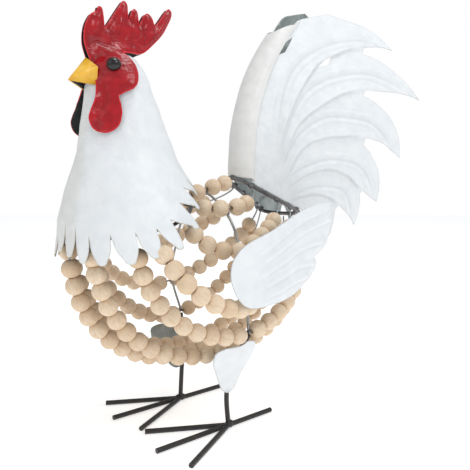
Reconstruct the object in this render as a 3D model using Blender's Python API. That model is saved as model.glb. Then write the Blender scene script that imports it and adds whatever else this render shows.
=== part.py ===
"""Rooster figurine: sheet-metal head cape, wings and tail on a body of bead strings.

The bird faces -Y and stands on the ground plane; its left side is +X.  Sizes are in
millimetres until `place` turns them into metres.
"""
import math

import bmesh
import bpy
from mathutils import Matrix, Vector

MM = 0.001
GAP = 0.3

# Beads and the wire they are threaded on.
BEAD = 16.0
BEAD_PITCH = 14.4
BEAD_SIDES = 5
THREAD = 0.8

# Rods.
LEG_ROD = 2.25
ARCH_ROD = 1.2
HEM_ROD = 1.5
TAIL_ROD = 2.0

# Feet.
LEG_SPREAD = 40.0
FRONT_TOE = 75.0
BACK_TOE = 52.5
TOE_ANGLE = 29.0

# Leg rods: inward lean at mid height, top.
LEG_LEAN = 2.5
LEG_TOP_Y = 10.5
ARCH_Y = 4.0
ARCH_MIDDLE = 140.0

# Where a rod passes a string: its place along the bird, half of the opening between two beads.
CROSS_ARCH = (ARCH_Y, 1.2)
CROSS_BACK = (ARCH_Y, 2.25)
CROSS_LEG = (LEG_TOP_Y, 3.2)

# How far inside a string's wire the arch runs.
ARCH_INSIDE = {"middle_bead_string": 8.8, "upper_bead_string": 10.2, "top_bead_string": 6.6}

# Cape: height, middle, half length of level sections, top first.
CAPE_SECTIONS = (
    (327.0, -82.0, 6.0), (323.0, -82.5, 13.5), (314.0, -83.5, 21.5), (298.0, -83.7, 27.5),
    (240.0, -76.6, 43.6), (215.0, -72.5, 55.5), (190.0, -67.2, 66.5), (150.0, -57.0, 80.0),
)
CAPE_NARROW = 0.9
CAPE_PINCH = 0.3
CAPE_WALL = 1.0
HEM_STRIPS = 18
HEM_MIDDLE = 190.0
HEM_SLOPE = 31.0
HEM_TURN = 30.0
HEM_NOTCH = 22.0
HEM_FLARE = 5.0
HEM_BLUNT = 0.4

# Ring inside the hem that carries the front ends of the strings.
RING_MIDDLE = 186.0
RING_RISE = 19.0
RING_DROP = 10.0
RING_IN = 10.0
RING_FRONT_IN = 3.5

# Head masks (comb, face and wattle in one sheet).
MASK_SHEET = 1.0
COMB_HALF = 1.6
WATTLE_OUT = 17.5
EYE = 5.7
EYE_Y = -96.0
EYE_Z = 312.0

# Tail.
TAIL_SHEET = 0.6
TAIL_HALF = 12.0
TAIL_START = 9.0
TAIL_FLARE = 0.25
TAIL_CURVE = 0.0006
TAIL_RING_FRONT = 36.0
TAIL_RING_BACK = 106.0
TAIL_RING_HIGH = 228.0
TAIL_RING_LOW = 193.0
BAND_DEPTH = 13.0
BAND_LAP = 6.0
FAR_TAIL_SIZE = 1.055

# Wings and thigh plates.
WING_SHEET = 1.0
WING_OUT = 88.5
WING_BEND = 0.0012
THIGH_SHEET = 1.0
THIGH_LOW = 36.0


# Scene helpers.

def clear_scene():
    for thing in list(bpy.data.objects):
        bpy.data.objects.remove(thing)


def material(name, colour, metallic, roughness):
    slot = bpy.data.materials.new(name)
    slot.use_nodes = True
    shader = slot.node_tree.nodes["Principled BSDF"]
    shader.inputs["Base Color"].default_value = (*colour, 1.0)
    shader.inputs["Metallic"].default_value = metallic
    shader.inputs["Roughness"].default_value = roughness
    slot.diffuse_color = (*colour, 1.0)
    return slot


def place(mesh, name, slot, smooth=False):
    bmesh.ops.remove_doubles(mesh, verts=mesh.verts, dist=0.01)
    bmesh.ops.recalc_face_normals(mesh, faces=mesh.faces)
    bmesh.ops.scale(mesh, vec=(MM, MM, MM), verts=mesh.verts)
    data = bpy.data.meshes.new(name)
    for face in mesh.faces:
        face.smooth = smooth
    mesh.to_mesh(data)
    mesh.free()
    data.materials.append(slot)
    thing = bpy.data.objects.new(name, data)
    bpy.context.collection.objects.link(thing)
    return thing


def mirrored(mesh):
    twin = mesh.copy()
    bmesh.ops.scale(twin, vec=(-1.0, 1.0, 1.0), verts=twin.verts)
    bmesh.ops.reverse_faces(twin, faces=twin.faces)
    return twin


# Curves.

def smooth_path(points, per_span, closed=False):
    """Points on a Catmull-Rom curve through the given ones."""
    count = len(points)
    spans = count if closed else count - 1
    path = []
    for i in range(spans):
        if closed:
            a, b, c, d = (points[(i + k - 1) % count] for k in range(4))
        else:
            a, b, c, d = (points[min(max(i + k - 1, 0), count - 1)] for k in range(4))
        for k in range(per_span):
            t = k / per_span
            path.append(0.5 * (2 * b + (c - a) * t + (2 * a - 5 * b + 4 * c - d) * t * t
                               + (3 * b - a - 3 * c + d) * t ** 3))
    if not closed:
        path.append(points[-1].copy())
    return path


def rings_along(path, radii, sides, closed=False, start=Vector((0, 0, 1))):
    """Rings of points round a path, turned as little as possible from one to the next."""
    count = len(path)
    rings = []
    across = None
    for i, point in enumerate(path):
        if closed:
            ahead = path[(i + 1) % count] - path[i - 1]
        else:
            ahead = path[min(i + 1, count - 1)] - path[max(i - 1, 0)]
        ahead.normalize()
        across = start if across is None else across
        across = (across - ahead * across.dot(ahead)).normalized()
        side = ahead.cross(across)
        ring = []
        for k in range(sides):
            turn = 2 * math.pi * (k + 0.5) / sides
            ring.append(point + radii[i] * (math.cos(turn) * across + math.sin(turn) * side))
        rings.append(ring)
    return rings


def skin(rings, closed=False):
    """A closed body from rings of equal length: bands between them and a lid at each end."""
    mesh = bmesh.new()
    loops = [[mesh.verts.new(point) for point in ring] for ring in rings]
    pairs = list(zip(loops, loops[1:]))
    if closed:
        pairs.append((loops[-1], loops[0]))
    for lower, upper in pairs:
        count = len(lower)
        for k in range(count):
            mesh.faces.new((lower[k], lower[(k + 1) % count], upper[(k + 1) % count], upper[k]))
    if not closed:
        mesh.faces.new(list(reversed(loops[0])))
        mesh.faces.new(loops[-1])
    bmesh.ops.triangulate(mesh, faces=[face for face in mesh.faces])
    return mesh


def rod(path, radius, sides=8, closed=False, start=Vector((0, 0, 1))):
    return skin(rings_along(path, [radius] * len(path), sides, closed, start), closed)


# Sheets.

def sheet(outline, surface, thickness, step):
    """A bent plate: a flat outline is cut into strips, then `surface` carries each point.

    `surface(a, b)` returns the point on the plate's inner face; the thickness is added
    along the outward normal there.
    """
    flat = bmesh.new()
    flat.faces.new([flat.verts.new((a, b, 0.0)) for a, b in outline])
    for axis in (0, 1):
        values = [point[axis] for point in outline]
        low, high = min(values), max(values)
        cuts = max(1, round((high - low) / step[axis]))
        for k in range(1, cuts):
            place_at = Vector((0, 0, 0))
            place_at[axis] = low + (high - low) * k / cuts
            normal = Vector((0, 0, 0))
            normal[axis] = 1.0
            bmesh.ops.bisect_plane(flat, geom=flat.verts[:] + flat.edges[:] + flat.faces[:],
                                   dist=0.01, plane_co=place_at, plane_no=normal)
    bmesh.ops.triangulate(flat, faces=flat.faces[:])
    flat.verts.index_update()
    mesh = bmesh.new()
    inner = []
    outer = []
    for vert in flat.verts:
        a, b = vert.co.x, vert.co.y
        point = surface(a, b)
        along = surface(a + 0.5, b) - surface(a - 0.5, b)
        up = surface(a, b + 0.5) - surface(a, b - 0.5)
        normal = along.cross(up).normalized()
        inner.append(mesh.verts.new(point))
        outer.append(mesh.verts.new(point + normal * thickness))
    for face in flat.faces:
        order = [vert.index for vert in face.verts]
        mesh.faces.new([outer[i] for i in order])
        mesh.faces.new([inner[i] for i in reversed(order)])
    for edge in flat.edges:
        if edge.is_boundary:
            loop = edge.link_loops[0]
            i, j = loop.vert.index, loop.link_loop_next.vert.index
            mesh.faces.new((inner[i], inner[j], outer[j]))
            mesh.faces.new((inner[i], outer[j], outer[i]))
    flat.free()
    return mesh


def arc(start, end, bulge, count):
    """Points from start towards end (left out) on a parabola that stands off by `bulge`."""
    (a0, b0), (a1, b1) = start, end
    length = math.hypot(a1 - a0, b1 - b0)
    out_a, out_b = (b0 - b1) / length, (a1 - a0) / length
    points = []
    for k in range(count):
        t = k / count
        rise = 4 * bulge * t * (1 - t)
        points.append((a0 + (a1 - a0) * t + out_a * rise, b0 + (b1 - b0) * t + out_b * rise))
    return points


# Cape and head.

def cape_section(z):
    rows = CAPE_SECTIONS
    z = min(max(z, rows[-1][0]), rows[0][0])
    for high, low in zip(rows, rows[1:]):
        if z >= low[0]:
            t = (z - low[0]) / (high[0] - low[0])
            return low[1] + (high[1] - low[1]) * t, low[2] + (high[2] - low[2]) * t
    return rows[-1][1:]


def cape_pinch(z):
    return CAPE_PINCH * min(max((z - 225.0) / 30.0, 0.0), 1.0)


def cape_point(turn, z, inset=0.0):
    """Point on the cape at an angle from the front; the neck is narrower towards the throat."""
    middle, half = cape_section(z)
    half -= inset
    ahead = math.cos(turn)
    width = CAPE_NARROW * half * (1 - cape_pinch(z) * max(ahead, 0.0))
    return Vector((width * math.sin(turn), middle - half * ahead, z))


def cape_half_width(y, z, outset=0.0):
    middle, half = cape_section(z)
    half += outset
    ahead = min(max((middle - y) / half, -0.985), 0.985)
    return CAPE_NARROW * half * math.sqrt(1 - ahead ** 2) * (1 - cape_pinch(z) * max(ahead, 0.0))


def hem_height(turn):
    turn = abs((turn + math.pi) % (2 * math.pi) - math.pi)
    return HEM_MIDDLE - HEM_SLOPE * math.cos(turn - math.radians(HEM_TURN))


def cape():
    """Hollow cone, closed at the crown, its hem cut into pointed strips."""
    columns = 2 * HEM_STRIPS
    crown = CAPE_SECTIONS[0][0]
    mesh = bmesh.new()
    skins = []
    for inset in (0.0, CAPE_WALL):
        levels = [row[0] - inset for row in CAPE_SECTIONS[:-3]]
        rows = [[mesh.verts.new(cape_point(math.pi * k / HEM_STRIPS, z, inset))
                 for k in range(columns)] for z in levels]
        row = []
        for k in range(columns):
            turn = math.pi * k / HEM_STRIPS
            row.append(mesh.verts.new(cape_point(turn, hem_height(turn) + HEM_NOTCH, inset)))
        rows.append(row)
        tips = []
        for k in range(0, columns, 2):
            for side in (-HEM_BLUNT, HEM_BLUNT):
                turn = math.pi * (k + side) / HEM_STRIPS
                out = HEM_FLARE * math.sin(turn) ** 2
                tips.append(mesh.verts.new(cape_point(turn, hem_height(turn), inset - out)))
        skins.append((rows, tips))
    for side, (rows, tips) in enumerate(skins):
        faces = [rows[0]]
        for upper, lower in zip(rows, rows[1:]):
            faces += [[upper[k], lower[k], lower[(k + 1) % columns], upper[(k + 1) % columns]]
                      for k in range(columns)]
        for k in range(0, columns, 2):
            faces.append([rows[-1][k - 1], tips[k], rows[-1][k]])
            faces.append([rows[-1][k], tips[k], tips[k + 1]])
            faces.append([rows[-1][k], tips[k + 1], rows[-1][(k + 1) % columns]])
        for face in faces:
            mesh.faces.new(face[::-1] if side else face)
    (outer, outer_tips), (inner, inner_tips) = ((rows[-1], tips) for rows, tips in skins)
    for k in range(0, columns, 2):
        for other, tip in ((k - 1, k), ((k + 1) % columns, k + 1)):
            mesh.faces.new([outer[other], outer_tips[tip], inner_tips[tip], inner[other]])
        mesh.faces.new([outer_tips[k], outer_tips[k + 1], inner_tips[k + 1], inner_tips[k]])
    bmesh.ops.triangulate(mesh, faces=mesh.faces[:])
    return mesh


def mask_outline():
    """Side view of one head mask in (y, z): comb spikes, cheek, wattle, brow."""
    spikes = ((-102.0, 359.5), (-79.0, 368.5), (-69.5, 364.5), (-57.5, 363.5), (-35.5, 372.0))
    notches = ((-95.5, 344.0), (-75.5, 355.0), (-65.0, 352.5), (-49.5, 355.5))
    half_tip = 2.6
    points = [(-110.5, 319.0), (-113.5, 332.0), (-112.0, 343.0), (-108.0, 353.0)]
    for i, (y, z) in enumerate(spikes):
        points += [(y - half_tip, z - 1.6), (y, z), (y + half_tip, z - 2.0)]
        if i < len(notches):
            points.append(notches[i])
    points += [(-36.0, 362.5), (-43.5, 350.0), (-53.0, 338.0), (-68.0, 326.5), (-87.0, 325.0)]
    points += [(-80.5, 317.0), (-78.5, 308.0), (-81.0, 299.0), (-87.5, 292.5), (-96.0, 288.0)]
    points += [(-95.0, 274.0), (-98.0, 264.0), (-107.5, 258.0), (-115.5, 263.0), (-117.5, 269.0)]
    points += [(-112.5, 283.0), (-108.5, 297.0), (-107.0, 309.0)]
    return points[::-1]


def mask_surface(y, z):
    """Inner face: the cheek follows the head, the comb closes to the middle, the wattle hangs."""
    cheek = cape_half_width(y, min(z, 320.0), 3.0) + GAP
    rise = min(max((z - 319.0) / 17.0, 0.0), 1.0)
    rise = rise * rise * (3 - 2 * rise)
    fall = min(max((300.0 - z) / 14.0, 0.0), 1.0)
    hang = max(cheek, WATTLE_OUT)
    side = cheek + (hang - cheek) * fall
    return Vector((side + (COMB_HALF - side) * rise, y, z))


def beak():
    """Folded sheet: two facets a side, meeting along a ridge, open at the back."""
    tip, crown = Vector((0, -126.0, 300.5)), Vector((0, -112.5, 319.0))
    cheek, lip = Vector((14.0, -109.0, 309.5)), Vector((12.5, -109.0, 296.5))
    wall = 1.2
    flip = Matrix.Scale(-1, 3, (1, 0, 0))
    outer = [tip, crown, cheek, lip, flip @ cheek, flip @ lip]
    inner = []
    for point in outer:
        inward = Vector((-math.copysign(wall, point.x) if point.x else 0.0, 0.0, -0.7 * wall))
        inner.append(point + inward)
    inner[0] = tip + Vector((0, 2.6 * wall, 0.4 * wall))
    inner[1] = crown + Vector((0, 0, -1.6 * wall))
    mesh = bmesh.new()
    out = [mesh.verts.new(point) for point in outer]
    inn = [mesh.verts.new(point) for point in inner]
    for a, b, c in ((0, 2, 1), (0, 3, 2), (0, 1, 4), (0, 4, 5)):
        mesh.faces.new((out[a], out[b], out[c]))
        mesh.faces.new((inn[c], inn[b], inn[a]))
    for a, b in ((1, 2), (2, 3), (3, 0), (0, 5), (5, 4), (4, 1)):
        mesh.faces.new((out[a], out[b], inn[b]))
        mesh.faces.new((out[a], inn[b], inn[a]))
    return mesh


def eye():
    """Shallow glass dome with a flat back against the mask."""
    mesh = bmesh.new()
    bmesh.ops.create_uvsphere(mesh, u_segments=10, v_segments=6, radius=EYE)
    low = [vert for vert in mesh.verts if vert.co.z < -0.1]
    bmesh.ops.delete(mesh, geom=low, context="VERTS")
    bmesh.ops.holes_fill(mesh, edges=[edge for edge in mesh.edges if edge.is_boundary], sides=0)
    bmesh.ops.triangulate(mesh, faces=mesh.faces[:])
    here = mask_surface(EYE_Y, EYE_Z)
    along = mask_surface(EYE_Y + 1, EYE_Z) - mask_surface(EYE_Y - 1, EYE_Z)
    up = mask_surface(EYE_Y, EYE_Z + 1) - mask_surface(EYE_Y, EYE_Z - 1)
    normal = along.cross(up).normalized()
    turn = Vector((0, 0, 1)).rotation_difference(normal)
    bmesh.ops.rotate(mesh, matrix=turn.to_matrix(), verts=mesh.verts)
    bmesh.ops.translate(mesh, vec=here + normal * (MASK_SHEET + 4 * GAP), verts=mesh.verts)
    return mesh


# Strings of beads.

def hem_ring_point(turn, low=0.0):
    ahead = max(math.cos(turn), 0.0)
    behind = max(-math.cos(turn), 0.0)
    z = RING_MIDDLE + RING_RISE * behind - RING_DROP * ahead
    inside = RING_IN + (RING_FRONT_IN - RING_IN) * ahead * ahead
    point = cape_point(turn, z, CAPE_WALL + HEM_ROD + inside)
    return point - Vector((0, 0, low))


def tail_ring_height(y):
    t = (y - TAIL_RING_FRONT) / (TAIL_RING_BACK - TAIL_RING_FRONT)
    return TAIL_RING_HIGH + (TAIL_RING_LOW - TAIL_RING_HIGH) * t


def band_front(z):
    """Front line of the tail in side view."""
    t = max(z - 240.0, 0.0) / 137.0
    return TAIL_RING_FRONT + 0.5 + 4.0 * t + 46.0 * t ** 2.3


def tail_half_width(y, z=TAIL_RING_HIGH):
    """Distance of a tail plate from the middle; it flares behind the front line."""
    back = max(y - band_front(z) - TAIL_START, 0.0)
    return TAIL_HALF + TAIL_FLARE * back + TAIL_CURVE * back * back


def string_curve(front_turn, anchor, sag, swing, fullness, over=False):
    """Half of a rounded oval from the hem ring to the tail ring, hung out by `sag`.

    `swing` pushes the front half out and the rear half in by (x, z)."""
    side = -1 if over else 1
    front = hem_ring_point(math.radians(front_turn), side * (HEM_ROD + THREAD + GAP))
    back = Vector((*anchor, tail_ring_height(anchor[1]) - TAIL_ROD - THREAD - GAP))
    middle, half, sag = (front + back) / 2, (front - back) / 2, Vector(sag)
    swing = Vector((swing[0], 0.0, swing[1]))
    points = []
    for k in range(241):
        t = math.pi * k / 240
        c = math.copysign(abs(math.cos(t)) ** (2 / fullness), math.cos(t))
        s = max(math.sin(t), 0.0) ** (2 / fullness)
        points.append(middle + half * c + sag * s + swing * math.sin(2 * t))
    return points


# Strings: front angle on the hem ring, back end (x, y), sag, swing (x, z), fullness,
# opening, bare ends.
STRINGS = {
    "top_bead_string": (174.0, (13.6, 49.0), (28.0, 2.2, -9.3), (4.5, 0.9), 1.84,
                        CROSS_ARCH, (3.0, 20.0)),
    "upper_bead_string": (119.0, (21.7, 76.7), (28.9, -17.0, -34.9), (-6.9, -3.5), 1.39,
                          CROSS_ARCH, (3.0, 28.0)),
    "middle_bead_string": (75.7, (25.5, 92.7), (36.0, -12.0, -70.7), (7.4, -0.7), 1.69,
                           CROSS_ARCH, (5.0, 11.0)),
    "lower_bead_string": (59.3, (26.6, 98.6), (19.0, 7.9, -97.0), (-8.1, -2.6), 1.97,
                          CROSS_LEG, (3.0, 18.0)),
    "belly_bead_string": (25.9, (11.4, 107.2), (7.1, 16.4, -115.0), (-9.0, -3.1), 2.23,
                          None, (3.5, 44.0)),
}
KEEL_STRING = (0.0, (0.0, TAIL_RING_BACK + 2.0), (0.0, 3.8, -116.8), (0.0, -1.1), 2.23)
KEEL_BARE = (13.5, 58.0)
BACK_STRING = (180.0, (0.0, TAIL_RING_FRONT), (0.0, 2.0, 1.5), (0.0, 0.0), 2.0)
BACK_BARE = (8.0, 2.4)


def back_curve():
    return string_curve(*BACK_STRING, over=True)


def crossing(curve, y=ARCH_Y):
    """Where a string passes the plane of the arch or the top of a leg."""
    return min(curve[20:-20], key=lambda point: abs(point.y - y))


def paired_string(name):
    *shape, opening, bare = STRINGS[name]
    return string_curve(*shape), opening, bare


def lengths_along(points):
    total = [0.0]
    for a, b in zip(points, points[1:]):
        total.append(total[-1] + (b - a).length)
    return total


def point_at(points, lengths, s):
    s = min(max(s, 0.0), lengths[-1])
    for i in range(len(points) - 1):
        if s <= lengths[i + 1]:
            span = lengths[i + 1] - lengths[i]
            t = (s - lengths[i]) / span if span else 0.0
            return points[i].lerp(points[i + 1], t)
    return points[-1].copy()


def bead_string(curve, opening, bare):
    """Beads threaded end to end, parted where the arch or a leg crosses the wire."""
    lengths = lengths_along(curve)
    total = lengths[-1]
    front, back = bare
    groups = []
    if opening is None:
        groups.append((front, int((total - back - front) / BEAD_PITCH)))
    else:
        y, half = opening
        cross = lengths[curve.index(crossing(curve, y))]
        ahead = int((cross - half - front) / BEAD_PITCH)
        behind = int((total - back - cross - half) / BEAD_PITCH)
        groups.append((cross - half - ahead * BEAD_PITCH, ahead))
        groups.append((cross + half, behind))
    end = math.sqrt(BEAD ** 2 - BEAD_PITCH ** 2) / 2
    shoulder, round_out = 0.19 * BEAD, 0.49 * BEAD
    stations = [(0.0, THREAD)]
    for start, count in groups:
        if start > BEAD / 2:
            stations.append((start - GAP, THREAD))
        stations.append((start, end))
        for k in range(count):
            middle = start + (k + 0.5) * BEAD_PITCH
            stations.append((middle - shoulder, round_out))
            stations.append((middle + shoulder, round_out))
            stations.append((middle + BEAD_PITCH / 2, end))
        stations.append((start + count * BEAD_PITCH + GAP, THREAD))
    stations.append((total, THREAD))
    path = [point_at(curve, lengths, s) for s, _ in stations]
    return skin(rings_along(path, [r for _, r in stations], BEAD_SIDES))


# Legs and feet.

def leg_crossing():
    curve, (y, _), _ = paired_string("lower_bead_string")
    return crossing(curve, y)


def leg_path():
    """From the toe joint to just under the wire of the lower string."""
    top = leg_crossing() - Vector((0.0, 0.0, THREAD + 5 * GAP))
    foot = Vector((LEG_SPREAD, 0.0, 2 * LEG_ROD + GAP))
    low = Vector((LEG_SPREAD - LEG_LEAN, 0.0, 0.36 * top.z))
    high = Vector((LEG_SPREAD + 1.0, 0.45 * LEG_TOP_Y, 0.68 * top.z))
    return smooth_path([foot, low, high, top], 2)


def toe(turn, ahead, behind, mitre):
    """Rod lying on the ground with one flat along the floor; side toes are cut at the joint."""
    apothem = math.cos(math.pi / 8)
    direction = Vector((math.sin(math.radians(turn)), -math.cos(math.radians(turn)), 0.0))
    joint = Vector((LEG_SPREAD, 0.0, LEG_ROD * apothem))
    mesh = rod([joint - direction * behind, joint + direction * ahead], LEG_ROD)
    if mitre:
        side = math.copysign(1.0, turn)
        wall = Vector((LEG_SPREAD + side * (LEG_ROD * apothem + GAP), 0.0, 0.0))
        cut = bmesh.ops.bisect_plane(mesh, geom=mesh.verts[:] + mesh.edges[:] + mesh.faces[:],
                                     dist=0.001, plane_co=wall, plane_no=(-side, 0, 0),
                                     clear_outer=True)
        edges = [item for item in cut["geom_cut"] if isinstance(item, bmesh.types.BMEdge)]
        bmesh.ops.holes_fill(mesh, edges=edges, sides=0)
        bmesh.ops.triangulate(mesh, faces=mesh.faces[:])
    return mesh


def arch_path():
    """From one leg top round inside the strings and over the back to the other leg top."""
    start = leg_crossing() + Vector((0.0, 0.0, THREAD + 4 * GAP))
    knots = []
    for name, inside in ARCH_INSIDE.items():
        point = crossing(paired_string(name)[0])
        inward = Vector((-point.x, 0.0, ARCH_MIDDLE - point.z)).normalized()
        knots.append(Vector((point.x, ARCH_Y, point.z)) + inward * inside)
    top = crossing(back_curve())
    top = Vector((0.0, ARCH_Y, top.z - THREAD - ARCH_ROD - 5 * GAP))
    bulge = knots[0].lerp(knots[1], 0.5) + Vector((3.0, 0.0, 0.0))
    shoulder = knots[1].lerp(knots[2], 0.5) + Vector((2.0, 0.0, 2.0))
    crown = knots[2].lerp(top, 0.5) + Vector((1.0, 0.0, 2.5))
    side = [start, knots[0], bulge, knots[1], shoulder, knots[2], crown]
    other = [Vector((-point.x, point.y, point.z)) for point in reversed(side)]
    return smooth_path(side + [top] + other, 2)


# Tail.

def tail_ring():
    ahead, back = TAIL_RING_FRONT, TAIL_RING_BACK
    corners = []
    for y, x in ((ahead, 0.0), (ahead + 4.0, 8.0), (ahead + 13.0, TAIL_HALF + 0.5),
                 (75.0, tail_half_width(75.0)), (back - 6.0, tail_half_width(back - 6.0)),
                 (back, tail_half_width(back) - 9.0), (back + 2.0, 0.0)):
        corners.append(Vector((x, y, tail_ring_height(y))))
    other = [Vector((-point.x, point.y, point.z)) for point in reversed(corners[1:-1])]
    return rod(smooth_path(corners + other, 2, closed=True), TAIL_ROD, 5, closed=True)


TAIL_FINGERS = (
    # tip (y, z), notch below it (y, z)
    ((220.0, 373.0), (183.0, 364.0)),
    ((241.0, 317.0), (176.0, 319.0)),
    ((214.0, 253.0), (174.0, 266.0)),
    ((188.0, 206.0), (171.0, 217.0)),
    ((164.0, 180.0), (146.0, 201.0)),
)
TAIL_CROWN = (151.0, 405.0)


def tail_outline():
    """Side view of one tail plate in (y, z): spine, crown, then the sickle feathers."""
    spine = [(band_front(z) + 14.0, z) for z in (236.0, 262.0, 290.0, 315.0, 338.0, 358.0, 374.0)]
    points = spine + [(112.0, 391.0), (129.0, 398.0), TAIL_CROWN, (172.0, 400.0)]
    start = points[-1]
    for number, (tip, notch) in enumerate(TAIL_FINGERS):
        rise = 0.17 if number < 3 else 0.14
        reach = math.hypot(tip[0] - start[0], tip[1] - start[1])
        points += arc(start, tip, rise * reach, 4)[1:]
        reach = math.hypot(tip[0] - notch[0], tip[1] - notch[1])
        points += arc(tip, notch, -0.16 * reach, 3)
        points.append(notch)
        start = notch
    points += [(141.0, 176.0), (134.0, 165.0), (126.0, 178.0)]
    for y in (TAIL_RING_BACK + 5.0, 75.0, TAIL_RING_FRONT + 14.5):
        points.append((y, tail_ring_height(y) + TAIL_ROD + 2 * GAP))
    return points[::-1]


def tail_surface(y, z):
    return Vector((tail_half_width(y, z) - 0.5 * TAIL_SHEET, y, z))


def far_tail_surface(y, z):
    """The right-hand plate is a little larger."""
    foot = tail_ring_height(y) + TAIL_ROD
    grow = 1 + (FAR_TAIL_SIZE - 1) * min(max((z - foot) / 30.0, 0.0), 1.0)
    high = foot + (z - foot) * grow
    back = y + (y - TAIL_RING_FRONT) * (grow - 1)
    return Vector((tail_half_width(back, high) - 0.5 * TAIL_SHEET, back, high))


def tail_band():
    """Front feather: a strip bent round the front of the two tail plates, lapping over them."""
    turns, rows = 8, 6
    half = TAIL_HALF + 2.6
    mesh = bmesh.new()
    skins = []
    for wall in (0.0, TAIL_SHEET):
        grid = []
        for r in range(rows + 1):
            row = []
            for k in range(-1, turns + 2):
                turn = math.radians(-90.0 + 180.0 * min(max(k, 0), turns) / turns)
                lap = k < 0 or k > turns
                side = abs(math.sin(turn))
                low = tail_ring_height(TAIL_RING_FRONT) + TAIL_ROD + 1.5 - (7.0 if lap else 4.0 * side)
                high = 377.0 + (17.0 if lap else 9.0 * side * side)
                z = low + (high - low) * r / rows
                deep = BAND_DEPTH * (1 - math.cos(turn)) + (BAND_LAP if lap else 0.0)
                y = band_front(z) + deep
                x = half * side
                if lap:
                    x = tail_half_width(y, z) + 0.5 * TAIL_SHEET + 3 * GAP
                x = math.copysign(x + wall * side, turn)
                row.append(mesh.verts.new((x, y - wall * math.cos(turn), z)))
            grid.append(row)
        skins.append(grid)
    for side, grid in enumerate(skins):
        for a, b in zip(grid, grid[1:]):
            for k in range(turns + 2):
                quad = [a[k], a[k + 1], b[k + 1], b[k]]
                mesh.faces.new(quad if side else quad[::-1])
    inner, outer = skins
    for k in range(turns + 2):
        mesh.faces.new((inner[0][k], inner[0][k + 1], outer[0][k + 1], outer[0][k]))
        mesh.faces.new((inner[-1][k + 1], inner[-1][k], outer[-1][k], outer[-1][k + 1]))
    for r in range(rows):
        mesh.faces.new((inner[r + 1][0], inner[r][0], outer[r][0], outer[r + 1][0]))
        mesh.faces.new((inner[r][-1], inner[r + 1][-1], outer[r + 1][-1], outer[r][-1]))
    bmesh.ops.triangulate(mesh, faces=mesh.faces[:])
    return mesh


# Wings and thigh plates.

def wing_outline():
    """Side view of one wing in (y, z): round shoulder, feather tips at the upper back."""
    points = [(-33.0, 143.0), (-34.0, 152.0), (-31.0, 161.0), (-21.0, 171.0), (-9.0, 176.5),
              (4.0, 181.0), (20.0, 188.0), (37.0, 195.5), (58.0, 201.5), (88.0, 206.0)]
    points += [(91.5, 195.0), (88.5, 181.0), (83.0, 168.0), (74.0, 161.0), (62.0, 156.0)]
    points += [(66.0, 149.0), (60.0, 141.0), (50.0, 134.5), (36.0, 126.5), (20.0, 122.0),
               (6.0, 120.5), (-7.0, 119.5), (-19.0, 122.0), (-28.0, 131.0)]
    return points[::-1]


def wing_surface(y, z):
    return Vector((WING_OUT - WING_BEND * (y - 10.0) ** 2, y, z))


def thigh_outline():
    points = [(-26.3, 71.0), (-24.5, 77.0), (-17.0, 79.0), (4.0, 79.0), (8.5, 82.0), (13.0, 82.0),
              (19.5, 78.0), (17.5, 69.5), (8.6, 52.0), (4.2, 38.2), (-0.8, 33.8), (-11.0, 39.5),
              (-16.3, 48.1), (-24.8, 63.5)]
    return points[::-1]


def thigh_surface(y, z):
    t = max((z - THIGH_LOW) / 44.0, 0.0)
    out = LEG_SPREAD + LEG_ROD + GAP - 0.4 + 13.0 * t ** 0.9
    return Vector((out, y, z))


def build():
    clear_scene()
    white = material("white_paint", (0.83, 0.85, 0.86), 0.0, 0.45)
    red = material("red_paint", (0.55, 0.02, 0.03), 0.0, 0.2)
    yellow = material("yellow_paint", (0.85, 0.5, 0.05), 0.0, 0.35)
    black = material("black_paint", (0.03, 0.03, 0.03), 0.0, 0.4)
    glass = material("black_glass", (0.01, 0.01, 0.01), 0.0, 0.05)
    steel = material("grey_steel", (0.3, 0.3, 0.3), 0.9, 0.45)
    wood = material("bead_wood", (0.72, 0.55, 0.4), 0.0, 0.6)

    place(cape(), "neck_cape", white, smooth=True)
    place(beak(), "beak", yellow)

    pieces = (
        ("head_mask", sheet(mask_outline(), mask_surface, MASK_SHEET, (13.0, 12.0)), red),
        ("eye", eye(), glass),
        ("tail_plate", sheet(tail_outline(), tail_surface, TAIL_SHEET, (26.0, 400.0)), white),
        ("thigh_plate", sheet(thigh_outline(), thigh_surface, THIGH_SHEET, (400.0, 11.0)), white),
        ("leg_rod", rod(leg_path(), LEG_ROD, 6, start=Vector((0, 1, 0))), black),
        ("middle_and_back_toe", toe(0.0, FRONT_TOE, BACK_TOE, False), black),
        ("outer_toe", toe(TOE_ANGLE, FRONT_TOE, 0.0, True), black),
        ("inner_toe", toe(-TOE_ANGLE, FRONT_TOE, 0.0, True), black),
    )
    for name, mesh, slot in pieces:
        twin = mirrored(mesh)
        if name == "tail_plate":
            twin.free()
            twin = mirrored(sheet(tail_outline(), far_tail_surface, TAIL_SHEET, (26.0, 60.0)))
        smooth = name in ("eye", "leg_rod")
        place(mesh, "left_" + name, slot, smooth)
        place(twin, "right_" + name, slot, smooth)

    place(sheet(wing_outline(), wing_surface, WING_SHEET, (20.0, 400.0)), "left_wing", white)

    for name in STRINGS:
        mesh = bead_string(*paired_string(name))
        twin = mirrored(mesh)
        place(mesh, "left_" + name, wood, True)
        place(twin, "right_" + name, wood, True)
    keel = bead_string(string_curve(*KEEL_STRING), None, KEEL_BARE)
    place(keel, "keel_bead_string", wood, True)
    back = bead_string(back_curve(), CROSS_BACK, BACK_BARE)
    place(back, "back_bead_string", wood, True)

    place(tail_band(), "tail_front_feather", white, smooth=True)
    place(tail_ring(), "tail_base_ring", steel, smooth=True)
    hem = [hem_ring_point(2 * math.pi * k / 20) for k in range(20)]
    place(rod(hem, HEM_ROD, 5, closed=True), "hem_ring", steel, smooth=True)
    place(rod(arch_path(), ARCH_ROD, 6, start=Vector((0, 1, 0))), "arch_rib", steel, smooth=True)
    centre_on_floor()


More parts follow.
